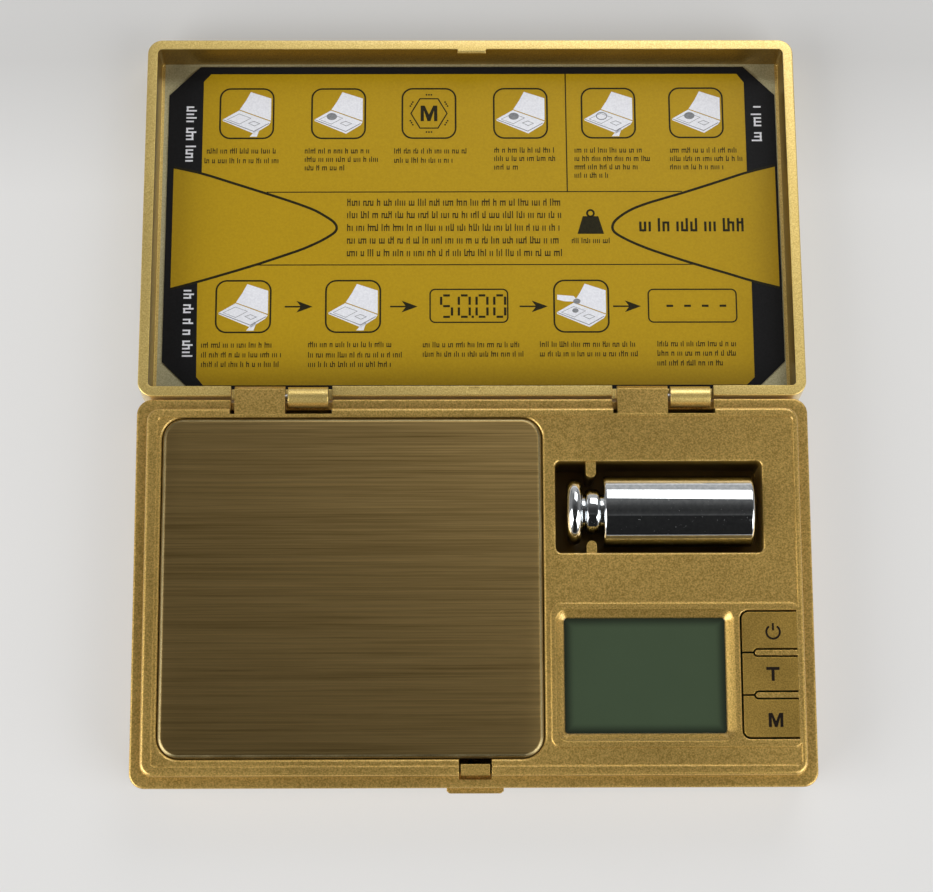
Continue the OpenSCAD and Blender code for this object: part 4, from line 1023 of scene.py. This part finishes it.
@dataclass
class Keys:
    """Three flexing keys with their printed legends.

    Attributes:
        spots: legend's place on the deck by key, in millimetres.
        top: height of the keys' upper face.
        stroke: width of the letters' bars.
        line: width of the power sign's lines.
        ring: radius of its ring.
        letter_t: half of the T's width and height.
        letter_m: width and height of the M.
    """

    spots: dict[str, tuple[float, float]]
    top: float
    stroke: float = 0.62
    line: float = 0.42
    ring: float = 1.4
    letter_t: tuple[float, float] = (1.36, 1.45)
    letter_m: tuple[float, float] = (3.0, 2.9)

    def dress(self, nodes: dict[str, bpy.types.Object]) -> None:
        """Gives the keys their lacquer and legends.

        Args:
            nodes: the CAD nodes by name.
        """
        lacquer = GOLD_KEY.build()
        for (name, (x, y)), draw in zip(self.spots.items(), (self.draw_power, self.draw_tare, self.draw_mode)):
            smooth_skin(nodes[f"key_{name}"], lacquer)
            ink = Print(floor=-0.005, roof=0.025)
            draw(ink)
            ink.build(f"legend_{name}", Plane((x, y, self.top)), PAD_INK, f"{name}_key")

    def draw_power(self, ink: Print) -> None:
        """Open ring with a bar in its gap."""
        turn = np.linspace(math.radians(125), math.radians(415), 40)
        ink.stroke(ellipse(turn, self.ring, self.ring), self.line)
        ink.stroke(np.array([[0.0, 0.3], [0.0, 1.85]]), self.line)

    def draw_tare(self, ink: Print) -> None:
        """Capital T."""
        (w, h), s = self.letter_t, self.stroke / 2
        under = h - self.stroke
        ink.fill(np.array([[-w, h], [-w, under], [-s, under], [-s, -h], [s, -h], [s, under], [w, under], [w, h]]))

    def draw_mode(self, ink: Print) -> None:
        """Capital M."""
        ink.fill(letter_m(*self.letter_m, self.stroke))


def letter_m(width: float, height: float, stroke: float) -> np.ndarray:
    """Outline of a capital M around the origin.

    Args:
        width: width of the letter.
        height: height of the letter.
        stroke: width of its upright bars.

    Returns:
        n by 2 array.
    """
    w, h = width / 2, height / 2
    d = stroke * 1.25
    return np.array(
        [[-w, -h], [-w, h], [-w + d, h], [0.0, -h + 0.42 * height], [w - d, h], [w, h], [w, -h], [w - stroke, -h],
         [w - stroke, h - 0.3 * height], [stroke * 0.45, -h], [-stroke * 0.45, -h], [-w + stroke, h - 0.3 * height],
         [-w + stroke, -h]]
    )


class Caption(Enum):
    """Kinds of row of plain marks: height, spacing and width of its strokes in millimetres."""

    SMALL = (1.0, 0.42, 0.19)
    BODY = (1.3, 0.5, 0.22)
    SIDE = (1.75, 0.82, 0.36)
    TITLE = (2.4, 0.98, 0.5)


@dataclass
class PictureCard:
    """Printed card in the lid: ochre field on black, with pictures of the steps and rows of plain marks.

    Positions are x across the card and y away from the hinge line along the lid.

    Attributes:
        plane: plane of the card's face.
        seed: seed of the random numbers for the marks.
        top_icons: middles of the upper row of icons.
        low_icons: middles of the lower row.
        icon: width of an icon's frame.
        figure: width, height and stroke of a seven-segment figure, and the step to the next.
    """

    plane: Plane
    seed: int = 7
    top_icons: tuple = ((-49.57, 67.92), (-29.25, 67.9), (-9.22, 67.94), (11.07, 67.95), (30.56, 67.98), (50.04, 68.05))
    low_icons: tuple = ((-49.52, 22.82), (-25.71, 22.83), (23.84, 22.82))
    icon: float = 11.8
    figure: tuple[float, float, float, float] = (2.35, 4.9, 0.5, 3.85)

    def field_outline(self) -> np.ndarray:
        """Outline of the ochre field, with the roots of the two horns reaching over the black sides."""
        return np.array(
            [[-59.26, 75.55], [-57.65, 77.35], [59.35, 77.4], [60.9, 75.3], [60.9, 53.85], [67.1, 55.45],
             [67.12, 27.1], [61.05, 28.6], [60.95, 6.6], [59.3, 4.95], [-57.8, 4.95], [-59.35, 6.84],
             [-59.6, 28.45], [-65.42, 26.95], [-65.44, 55.05], [-59.25, 53.6]]
        )

    def horns(self) -> list[np.ndarray]:
        """The two curved outlines that run in from the sides to a blunt tip."""
        left = [(-65.4, 55.2), (-59.2, 53.7), (-52.0, 51.35), (-44.85, 48.95), (-40.6, 47.5), (-36.9, 46.15),
                (-34.2, 45.0), (-32.0, 43.7), (-30.1, 42.3), (-29.45, 41.0), (-30.0, 39.8), (-32.2, 38.3),
                (-34.5, 37.1), (-37.3, 35.85), (-42.0, 34.15), (-46.9, 32.45), (-53.0, 30.5), (-59.9, 28.4),
                (-65.4, 26.85)]
        right = [(67.1, 55.5), (60.9, 53.85), (53.5, 51.35), (46.4, 49.0), (42.3, 47.75), (38.7, 46.6),
                 (35.8, 45.45), (33.6, 44.2), (31.6, 42.55), (30.97, 41.1), (31.5, 39.8), (33.6, 38.4),
                 (36.3, 37.05), (39.4, 35.75), (44.0, 34.1), (48.75, 32.5), (55.0, 30.55), (61.1, 28.6), (67.1, 27.0)]
        return [smooth_curve(np.array(left)), smooth_curve(np.array(right))]

    @staticmethod
    def marks(
        ink: Print, start: tuple[float, float], end_x: float, kind: Caption, rng: np.random.Generator, quarters: int = 0
    ) -> None:
        """Draws a row of plain marks: upright strokes in groups, some of them joined at the top or the bottom.

        Args:
            ink: print that gets them.
            start: left end of the row, at half the height of a low stroke.
            end_x: right end of the row, before it is turned.
            kind: size of the marks.
            rng: random numbers for the groups.
            quarters: quarter turns about the start.
        """
        height, pitch, bar = kind.value
        length = end_x - start[0]
        slots = max(int(length / pitch), 2)
        step = length / slots
        position = (np.arange(slots) + 0.5) * step
        gaps = np.isin(np.arange(slots), np.cumsum(rng.integers(3, 7, slots)))
        tall = rng.random(slots) < 0.25
        centre = np.stack([position, np.where(tall, 0.16 * height, 0.0)], 1)[~gaps]
        size = np.stack([np.full(slots, bar), np.where(tall, 1.3, 0.95) * height], 1)[~gaps]
        joined = ~gaps & ~np.roll(gaps, -1) & (rng.random(slots) < 0.55)
        joined[-1] = False
        level = height * (0.38 if kind is Caption.TITLE else 0.34) * np.where(rng.random(slots) < 0.6, 1.0, -1.0)
        tie_centre = np.stack([position + step / 2, level], 1)[joined]
        tie_size = np.full_like(tie_centre, 1.0) * (step - bar, 0.22 * height)
        centres, sizes = np.concatenate([centre, tie_centre]), np.concatenate([size, tie_size])
        for _ in range(quarters):
            centres, sizes = np.stack([-centres[:, 1], centres[:, 0]], 1), sizes[:, ::-1]
        ink.boxes(centres + start, sizes)

    @staticmethod
    def scale_picture(white: Print, grey_ink: Print, centre: tuple[float, float], extra: str) -> None:
        """Draws one small picture of an open scale.

        Args:
            white: print of the pale parts.
            grey_ink: print of the lines and details.
            centre: middle of the icon.
            extra: what is shown with it, one of load, ring, hand or drop.
        """
        lid = ((0.8, 5.15), (5.35, 3.6), (5.35, -1.7), (-1.6, 0.95), (-0.3, 3.0))
        base = ((-1.7, 0.75), (5.35, -1.95), (4.85, -2.75), (1.7, -4.8), (-5.3, -1.75), (-5.3, -1.4))
        front_edge = ((-5.2, -1.5), (1.6, -4.25), (4.9, -2.35))
        screen = ((0.4, -2.3), (1.6, -1.85), (2.9, -2.4), (1.7, -2.95))
        plate = ((-4.3, -1.4), (-1.7, -0.1), (0.9, -1.1), (-1.6, -2.5))
        tweezers = ((-5.2, 2.6), (-1.6, 2.3), (-0.9, 1.4), (-1.3, 1.0), (-3.6, 1.1), (-5.2, 1.5))
        finger = ((0.7, -5.5), (2.3, -5.5), (2.9, -3.7), (2.4, -3.5), (1.7, -4.3))
        at = np.array(centre)
        for outline in (lid, base):
            white.fill(at + outline)
        grey_ink.stroke(at + front_edge, 0.16)
        grey_ink.stroke(at + screen, 0.12, closed=True)
        grey_ink.stroke(at + plate, 0.1, closed=True)
        disc = ellipse(np.linspace(0.0, 2 * math.pi, 20, endpoint=False), 1.15, 0.85) + (-1.5, -0.7)
        if extra == "load":
            grey_ink.fill(at + disc)
        elif extra == "ring":
            grey_ink.stroke(at + disc, 0.2, closed=True)
        elif extra == "drop":
            grey_ink.fill(at + disc * 0.6 + (-0.4, -0.6))
            white.fill(at + tweezers)
            grey_ink.fill(at + disc * 0.7 + (0.1, 1.6))
        if extra in ("hand", "ring"):
            white.fill(at + finger)

    def segments(self, ink: Print, corner: tuple[float, float], pattern: str) -> None:
        """Draws seven-segment figures, whose bars stop short of each other.

        Args:
            ink: print that gets them.
            corner: lower left corner of the first figure.
            pattern: figures to draw; a dot follows a figure without room of its own.
        """
        lit = {"0": "abcdef", "5": "acdfg", "-": "g"}
        w, h, s, step = self.figure
        flat, tall = (w - 0.9, s), (s, h / 2 - 0.6)
        bars = {
            "a": ((w / 2, h), flat), "b": ((w, h * 0.75), tall), "c": ((w, h * 0.25), tall), "d": ((w / 2, 0.0), flat),
            "e": ((0.0, h * 0.25), tall), "f": ((0.0, h * 0.75), tall), "g": ((w / 2, h / 2), flat),
        }
        x, y = corner
        drawn = []
        for figure in pattern:
            if figure == ".":
                drawn.append(((x - 0.85, y), (s, s)))
                continue
            for name in lit[figure]:
                (bar_x, bar_y), size = bars[name]
                drawn.append(((x + bar_x, y + bar_y), size))
            x += step
        centres, sizes = zip(*drawn)
        ink.boxes(np.array(centres), np.array(sizes))

    def draw_lines(self, ink: Print) -> None:
        """Draws the horns, dividers, frames, arrows and figures."""
        for horn in self.horns():
            ink.stroke(horn, 0.55)
        dividers = (
            (((-44.9, 49.3), (46.4, 49.4)), 0.22), (((-46.9, 32.35), (48.7, 32.4)), 0.22),
            (((21.12, 77.38), (21.2, 49.4)), 0.24),
        )
        for line, width in dividers:
            ink.stroke(np.array(line), width)
        frame = rounded_path(self.icon, self.icon, 2.3)
        for centre in self.top_icons + self.low_icons:
            ink.stroke(frame + centre, 0.36, closed=True)
        for centre, size in (((-0.57, 22.92), (16.85, 7.55)), ((48.0, 22.88), (19.13, 7.5))):
            ink.stroke(rounded_path(*size, 1.1) + centre, 0.3, closed=True)
        self.segments(ink, (-6.6, 20.4), "50.00")
        self.segments(ink, (41.9, 20.4), "----")
        head = np.array([[0.0, 0.0], [-3.5, 1.35], [-2.5, 0.0], [-3.5, -1.35]])
        arrow_y = 22.77
        for tail_x, tip_x in ((-40.53, -34.5), (-17.67, -11.7), (10.43, 16.55), (30.76, 36.8)):
            ink.fill(head + (tip_x, arrow_y))
            ink.stroke(np.array([[tail_x, arrow_y], [tip_x - 2.5, arrow_y]]), 0.34)

    def draw_unit_icon(self, ink: Print) -> None:
        """Draws the third icon: a hexagon around the letter of the mode key, with short marks outside it."""
        at = np.array(self.top_icons[2])
        ink.stroke(ellipse(np.radians(np.arange(0, 360, 60)), 4.0, 4.05) + at, 0.26, closed=True)
        ink.fill(letter_m(3.7, 3.7, 0.72) + at)
        side = np.radians([[90], [30], [330], [270], [210], [150]])
        along = np.stack([-np.sin(side), np.cos(side)], -1)
        dots = ellipse(side, 4.45, 4.45) + along * np.array([[[-0.55], [0.0], [0.55]]])
        dots = dots.reshape(-1, 2) + at
        ink.boxes(dots, np.full_like(dots, 0.34))

    @staticmethod
    def draw_weight_sign(ink: Print) -> None:
        """Draws a plain sign of a calibration weight beside the right horn."""
        ink.fill(np.array([[23.3, 39.5], [29.1, 39.5], [27.9, 43.6], [24.5, 43.6]]))
        ring = ellipse(np.linspace(0.0, 2 * math.pi, 24, endpoint=False), 0.75, 0.75)
        ink.stroke(ring + (26.2, 44.3), 0.42, closed=True)

    def build(self) -> None:
        """Builds all the inks of the card."""
        rng = np.random.default_rng(self.seed)
        field_ink = Print(0.0, 0.02)
        field_ink.fill(self.field_outline())
        field_ink.build("card_ochre_field", self.plane, INK_YELLOW, "lid")
        black, fine, white = (Print(0.015, roof) for roof in (0.05, 0.04, 0.045))
        grey_ink, pale = Print(0.03, 0.06), Print(-0.005, 0.03)
        self.draw_lines(black)
        self.draw_unit_icon(black)
        self.draw_weight_sign(black)
        extras = ("hand", "load", None, "load", "ring", "load", "hand", "hand", "drop")
        for centre, extra in zip(self.top_icons + self.low_icons, extras):
            if extra:
                self.scale_picture(white, grey_ink, centre, extra)
        captions = [
            (-58.36, 58.9, -42.96), (-58.82, 56.6, -42.31), (-36.75, 58.9, -22.32), (-36.73, 56.9, -19.94),
            (-36.7, 54.9, -27.37), (-17.03, 58.87, -0.84), (-17.02, 56.67, -3.93), (5.08, 59.05, 18.51),
            (5.07, 57.08, 18.74), (5.05, 55.04, 10.5), (22.84, 59.04, 38.33), (22.8, 57.05, 39.68),
            (22.77, 55.07, 37.32), (22.74, 53.1, 30.34), (43.95, 59.02, 59.3), (43.89, 57.03, 60.11),
            (43.84, 55.05, 55.82), (-58.58, 13.93, -43.16), (-58.53, 11.72, -41.07), (-58.48, 9.56, -41.14),
            (-35.48, 14.0, -17.28), (-35.45, 11.67, -15.01), (-35.42, 9.52, -17.37), (-10.69, 13.93, 10.79),
            (-10.69, 11.8, 11.68), (14.62, 13.99, 35.87), (14.59, 11.82, 35.98), (40.06, 14.06, 57.3),
            (40.01, 11.94, 57.63), (39.95, 9.73, 54.29), (21.89, 37.79, 30.4),
        ]
        for x0, y, x1 in captions:
            self.marks(fine, (x0, y), x1, Caption.SMALL, rng)
        for y, x1 in ((46.7, 20.24), (43.8, 20.4), (40.83, 19.49), (37.88, 19.75), (34.96, 19.96)):
            self.marks(fine, (-27.3, y), x1, Caption.BODY, rng)
        self.marks(black, (36.6, 41.2), 60.0, Caption.TITLE, rng)
        for start, length, quarters in (((-62.1, 69.9), 13.6, 3), ((-61.7, 26.9), 15.7, 3), ((63.65, 61.0), 8.9, 1)):
            self.marks(pale, start, start[0] + length, Caption.SIDE, rng, quarters)
        inks = (
            ("card_black_lines", black, INK_BLACK), ("card_small_print", fine, INK_BROWN),
            ("card_white_pictures", white, INK_WHITE), ("card_grey_details", grey_ink, INK_GREY),
            ("card_side_print", pale, INK_WHITE),
        )
        for name, ink, finish in inks:
            ink.build(name, self.plane, finish, "lid")


@dataclass
class Studio:
    """Floor, lights, world and camera.

    Attributes:
        hinge: Y and Z of the hinge line in millimetres.
        eye: camera's place in millimetres, from the hinge line.
        turn: camera's rotation in degrees.
        focal_px: focal length in pixels of the photograph's width.
        slice_sky: brightness of the room's middle slice by its lean from straight up, in degrees towards the back.
        side_sky: brightness of the room's sides by the height of their direction.
        slice_width: sideways part of a direction where the slice ends and where the sides begin.
        boxes: name, direction from the scale, width and height in metres and brightness of each soft box.
        box_power: watts of a square metre of soft box at a brightness of one.
        table_half: half of the table's width in millimetres.
        floor_colour: colour of the table where light and shadow fall on it.
        backdrop_tone_with_shadow: what the backdrop adds to it, by the place in Y in millimetres, with a painted shadow
            in its dip just behind the lid.
    """

    hinge: tuple[float, float]
    eye: tuple[float, float, float] = (-6.361, -118.377, 527.279)
    turn: tuple[float, float, float] = (11.558, -0.505, -0.22)
    focal_px: float = 2550.0
    slice_sky: tuple = (
        (-90, 0.018), (-23, 0.02), (-20, 0.08), (-15, 0.045), (-5, 0.035), (10, 0.055), (30, 0.15), (60, 0.24),
        (66, 0.48), (90, 0.52),
    )
    side_sky: tuple = ((0.0, 0.2), (0.3, 0.26), (0.6, 0.24), (0.85, 0.1), (1.0, 0.08))
    slice_width: tuple[float, float] = (0.3, 0.5)
    boxes: tuple = (
        ("soft_box_left", (-0.8, -0.4, 0.5), (0.8, 0.8), 3.5),
        ("soft_box_right", (0.7, -0.48, 0.54), (0.8, 0.8), 2.8),
        ("window_back", (0.24, 0.72, 0.67), (0.6, 0.56), 2.2),
    )
    box_power: float = 4.0
    table_half: float = 12000.0
    floor_colour: str = "#9D9C9A"
    # The dip at Y 82, just behind the lid's far edge, is a painted shadow on the backdrop.
    backdrop_tone_with_shadow: tuple = (
        (-800, 0.72), (-200, 0.42), (-105, 0.39), (-30, 0.4), (50, 0.39), (82, 0.27), (105, 0.3), (200, 0.42),
        (800, 0.72),
    )

    def camera(self) -> None:
        """Adds the camera at the photograph's place."""
        data = bpy.data.cameras.new("photo_camera")
        data.sensor_fit = "HORIZONTAL"
        data.sensor_width = 36.0
        data.lens = data.sensor_width * self.focal_px / PHOTO_WIDTH
        data.clip_start, data.clip_end = 0.01, 20.0
        obj = bpy.data.objects.new("photo_camera", data)
        x, y, z = self.eye
        obj.location = (x * MM, (y + self.hinge[0]) * MM, (z + self.hinge[1]) * MM)
        obj.rotation_euler = [math.radians(angle) for angle in self.turn]
        bpy.context.scene.collection.objects.link(obj)
        bpy.context.scene.camera = obj

    def floor(self) -> None:
        """Adds the pale table, whose colour falls off towards the back as in the photograph."""
        corners = np.array([[-1, -1, 0], [1, -1, 0], [1, 1, 0], [-1, 1, 0]]) * self.table_half
        obj = mesh_object("table", corners, [[0, 1, 2, 3]])
        material, tree, place = new_material("Paper backdrop, matt")
        split = add_node(tree, "ShaderNodeSeparateXYZ", {"Vector": place})
        first, last = self.backdrop_tone_with_shadow[0][0], self.backdrop_tone_with_shadow[-1][0]
        along = add_node(
            tree, "ShaderNodeMapRange", {"Value": split.outputs["Y"], "From Min": first * MM, "From Max": last * MM}
        )
        colour = add_node(tree, "ShaderNodeValToRGB", {"Fac": along.outputs["Result"]})
        ramp_stops(colour, [((spot - first) / (last - first), grey(level)) for spot, level in self.backdrop_tone_with_shadow])
        ray = add_node(tree, "ShaderNodeLightPath")
        seen = ray.outputs["Is Camera Ray"]
        for other in ("Is Glossy Ray", "Is Transmission Ray"):
            seen = add_node(tree, "ShaderNodeMath", {0: seen, 1: ray.outputs[other]}, operation="MAXIMUM").outputs[0]
        matt = add_node(tree, "ShaderNodeBsdfDiffuse", {"Color": srgb(self.floor_colour)})
        # Camera and reflections see the backdrop tone added, with the painted shadow behind the lid.
        glow = add_node(tree, "ShaderNodeEmission", {"Color": colour.outputs["Color"], "Strength": 1.0})
        lit = add_node(tree, "ShaderNodeAddShader", {0: matt.outputs[0], 1: glow.outputs[0]})
        mix = add_node(tree, "ShaderNodeMixShader", {0: seen, 1: matt.outputs[0], 2: lit.outputs[0]})
        add_node(tree, "ShaderNodeOutputMaterial", {"Surface": mix.outputs[0]})
        obj.data.materials.append(material)

    def world(self) -> None:
        """Adds the room: dark in front, grey overhead, lighter towards the back, with pale walls at the sides."""
        world = bpy.data.worlds.new("studio")
        world.use_nodes = True
        tree = world.node_tree
        tree.nodes.clear()
        place = add_node(tree, "ShaderNodeTexCoord")
        split = add_node(tree, "ShaderNodeSeparateXYZ", {"Vector": place.outputs["Generated"]})
        lean = add_node(tree, "ShaderNodeMath", {0: split.outputs["Y"], 1: split.outputs["Z"]}, operation="ARCTAN2")
        right = math.pi / 2
        turn = add_node(tree, "ShaderNodeMapRange", {"Value": lean.outputs[0], "From Min": -right, "From Max": right})
        middle = add_node(tree, "ShaderNodeValToRGB", {"Fac": turn.outputs["Result"]})
        ramp_stops(middle, [(0.5 + degrees / 180.0, grey(level)) for degrees, level in self.slice_sky])
        sides = add_node(tree, "ShaderNodeValToRGB", {"Fac": split.outputs["Z"]})
        ramp_stops(sides, [(height, grey(level)) for height, level in self.side_sky])
        width = add_node(tree, "ShaderNodeMath", {0: split.outputs["X"]}, operation="ABSOLUTE")
        near, far = self.slice_width
        share = add_node(
            tree,
            "ShaderNodeMapRange",
            {"Value": width.outputs[0], "From Min": near, "From Max": far},
            interpolation_type="SMOOTHSTEP",
        )
        shade = {0: share.outputs["Result"], 6: middle.outputs["Color"], 7: sides.outputs["Color"]}
        room = add_node(tree, "ShaderNodeMix", shade, data_type="RGBA")
        back = add_node(tree, "ShaderNodeBackground", {"Color": room.outputs[2], "Strength": 1.0})
        add_node(tree, "ShaderNodeOutputWorld", {"Surface": back.outputs[0]})
        bpy.context.scene.world = world

    def lamp(self, name: str, side: tuple[float, float, float], size: tuple[float, float], level: float) -> None:
        """Adds one soft box that faces the scale from a metre away.

        Args:
            name: name of the lamp.
            side: direction from the scale to the box.
            size: width and height in metres.
            level: brightness of its face.
        """
        data = bpy.data.lights.new(name, "AREA")
        data.shape = "RECTANGLE"
        data.size, data.size_y = size
        data.energy = self.box_power * size[0] * size[1] * level
        obj = bpy.data.objects.new(name, data)
        direction = Vector(side).normalized()
        obj.location = direction
        obj.rotation_euler = direction.to_track_quat("Z", "Y").to_euler()
        bpy.context.scene.collection.objects.link(obj)

    def build(self) -> None:
        """Builds the whole studio and sets the view."""
        self.camera()
        self.floor()
        self.world()
        for box in self.boxes:
            self.lamp(*box)
        bpy.context.scene.view_settings.view_transform = "Standard"


@dataclass
class PocketScale:
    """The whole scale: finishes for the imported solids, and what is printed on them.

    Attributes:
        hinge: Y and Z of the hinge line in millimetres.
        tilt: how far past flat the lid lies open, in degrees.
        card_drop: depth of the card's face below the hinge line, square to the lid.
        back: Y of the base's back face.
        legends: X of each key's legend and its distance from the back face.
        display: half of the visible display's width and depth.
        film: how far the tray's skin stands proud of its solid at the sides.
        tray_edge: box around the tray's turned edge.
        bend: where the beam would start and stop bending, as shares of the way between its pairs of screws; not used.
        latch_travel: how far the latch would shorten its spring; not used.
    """

    hinge: tuple[float, float] = (0.603, 14.9)
    tilt: float = 4.0615
    card_drop: float = 7.4
    back: float = 0.253
    legends: tuple = (("power", 62.09, 50.12), ("tare", 61.85, 58.85), ("mode", 62.2, 68.35))
    display: tuple[float, float] = (16.7, 11.95)
    film: float = 0.12
    tray_edge: Box = ((-80.0, -90.0, 15.0), (80.0, 10.0, 18.0))
    bend: tuple[float, float] = (0.25, 0.75)
    latch_travel: float = 1.0

    @staticmethod
    def dress_inside(nodes: dict[str, bpy.types.Object]) -> None:
        """Gives the pieces inside the case their finishes.

        Args:
            nodes: the CAD nodes by name.
        """
        zinc, contact = ZINC_STEEL.build(), CONTACT_SHEET.build()
        plan = {
            "platform_carrier": DARK_ABS.build(), "carrier_screws": zinc, "load_cell_screws": zinc,
            "sensor_ribbon": FLAT_CABLE.build(), "circuit_board": BOARD.build(), "control_chip": EPOXY.build(),
            "board_screws": zinc, "display_glass": CRYSTAL.build(), "display_reflector": WHITE_FILM.build(),
            "contact_strip": STRIP_RUBBER.build(), "key_switches": contact, "battery_contacts": contact,
            "battery_springs": SPRING_STEEL.build(), "case_screws": zinc,
        }
        for name, material in plan.items():
            dress(nodes[name], material)
        skins = (
            (SLEEVE.build(), ("battery_front", "battery_rear")),
            (RUBBER.build(), ("foot_front_left", "foot_front_right", "foot_rear_left", "foot_rear_right")),
            (zinc, ("hinge_pin_left", "hinge_pin_right")),
        )
        for material, names in skins:
            for name in names:
                smooth_skin(nodes[name], material)

    def dress_springy(self, nodes: dict[str, bpy.types.Object]) -> None:
        """Gives the beam and its potting skins that ride on no body, baked in place, and the latch's spring a skin with
        its own mesh.

        Args:
            nodes: the CAD nodes by name.
        """
        for name, finish in (("load_cell", ALUMINIUM_BAR), ("gauge_cover", SILICONE)):
            beam = smooth_skin(nodes[name], finish.build(), ride=False)
            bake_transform(beam)
        coil = smooth_skin(nodes["latch_spring"], SPRING_STEEL.build())
        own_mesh(coil)

    def build(self, nodes: dict[str, bpy.types.Object]) -> None:
        """Builds and dresses every sub-assembly.

        Args:
            nodes: the CAD nodes by name.
        """
        CaseShells().dress(nodes)
        tray = smooth_skin(nodes["weighing_platform"], BRONZE_SHEET.build())
        grow_sideways(tray, self.film)
        paint_faces(tray, BRONZE_EDGE, self.tray_edge, (0.05, 0.97))
        low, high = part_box("display_window")
        centre = ((low.x + high.x) / 2 / MM, (low.y + high.y) / 2 / MM)
        display = DisplayFinish("Display under acrylic window", "#3F4D39", "#20271D", centre, self.display)
        smooth_skin(nodes["display_window"], display.build())
        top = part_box("key_tare")[1].z / MM
        Keys({name: (x, self.back - depth) for name, x, depth in self.legends}, top).dress(nodes)
        low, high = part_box("calibration_weight")
        axis = ((low.y + high.y) / 2 / MM, (low.z + high.z) / 2 / MM)
        Weight(axis, low.x / MM).build()
        dress(nodes["instruction_card"], CARD_BLACK.build())
        lean = math.radians(self.tilt)
        y, z = self.hinge
        face = (0.0, y - self.card_drop * math.sin(lean), z - self.card_drop * math.cos(lean))
        PictureCard(Plane(face, self.tilt)).build()
        self.dress_inside(nodes)
        self.dress_springy(nodes)


def main() -> None:
    """Loads the frame, builds the scale and the studio, and logs that it has finished."""
    logging.basicConfig(level=logging.INFO, format="%(name)s: %(message)s")
    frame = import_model()
    scale = PocketScale()
    Studio(scale.hinge).build()
    scale.build(frame["nodes"])
    log.info("finished")


if __name__ == "__main__":
    main()
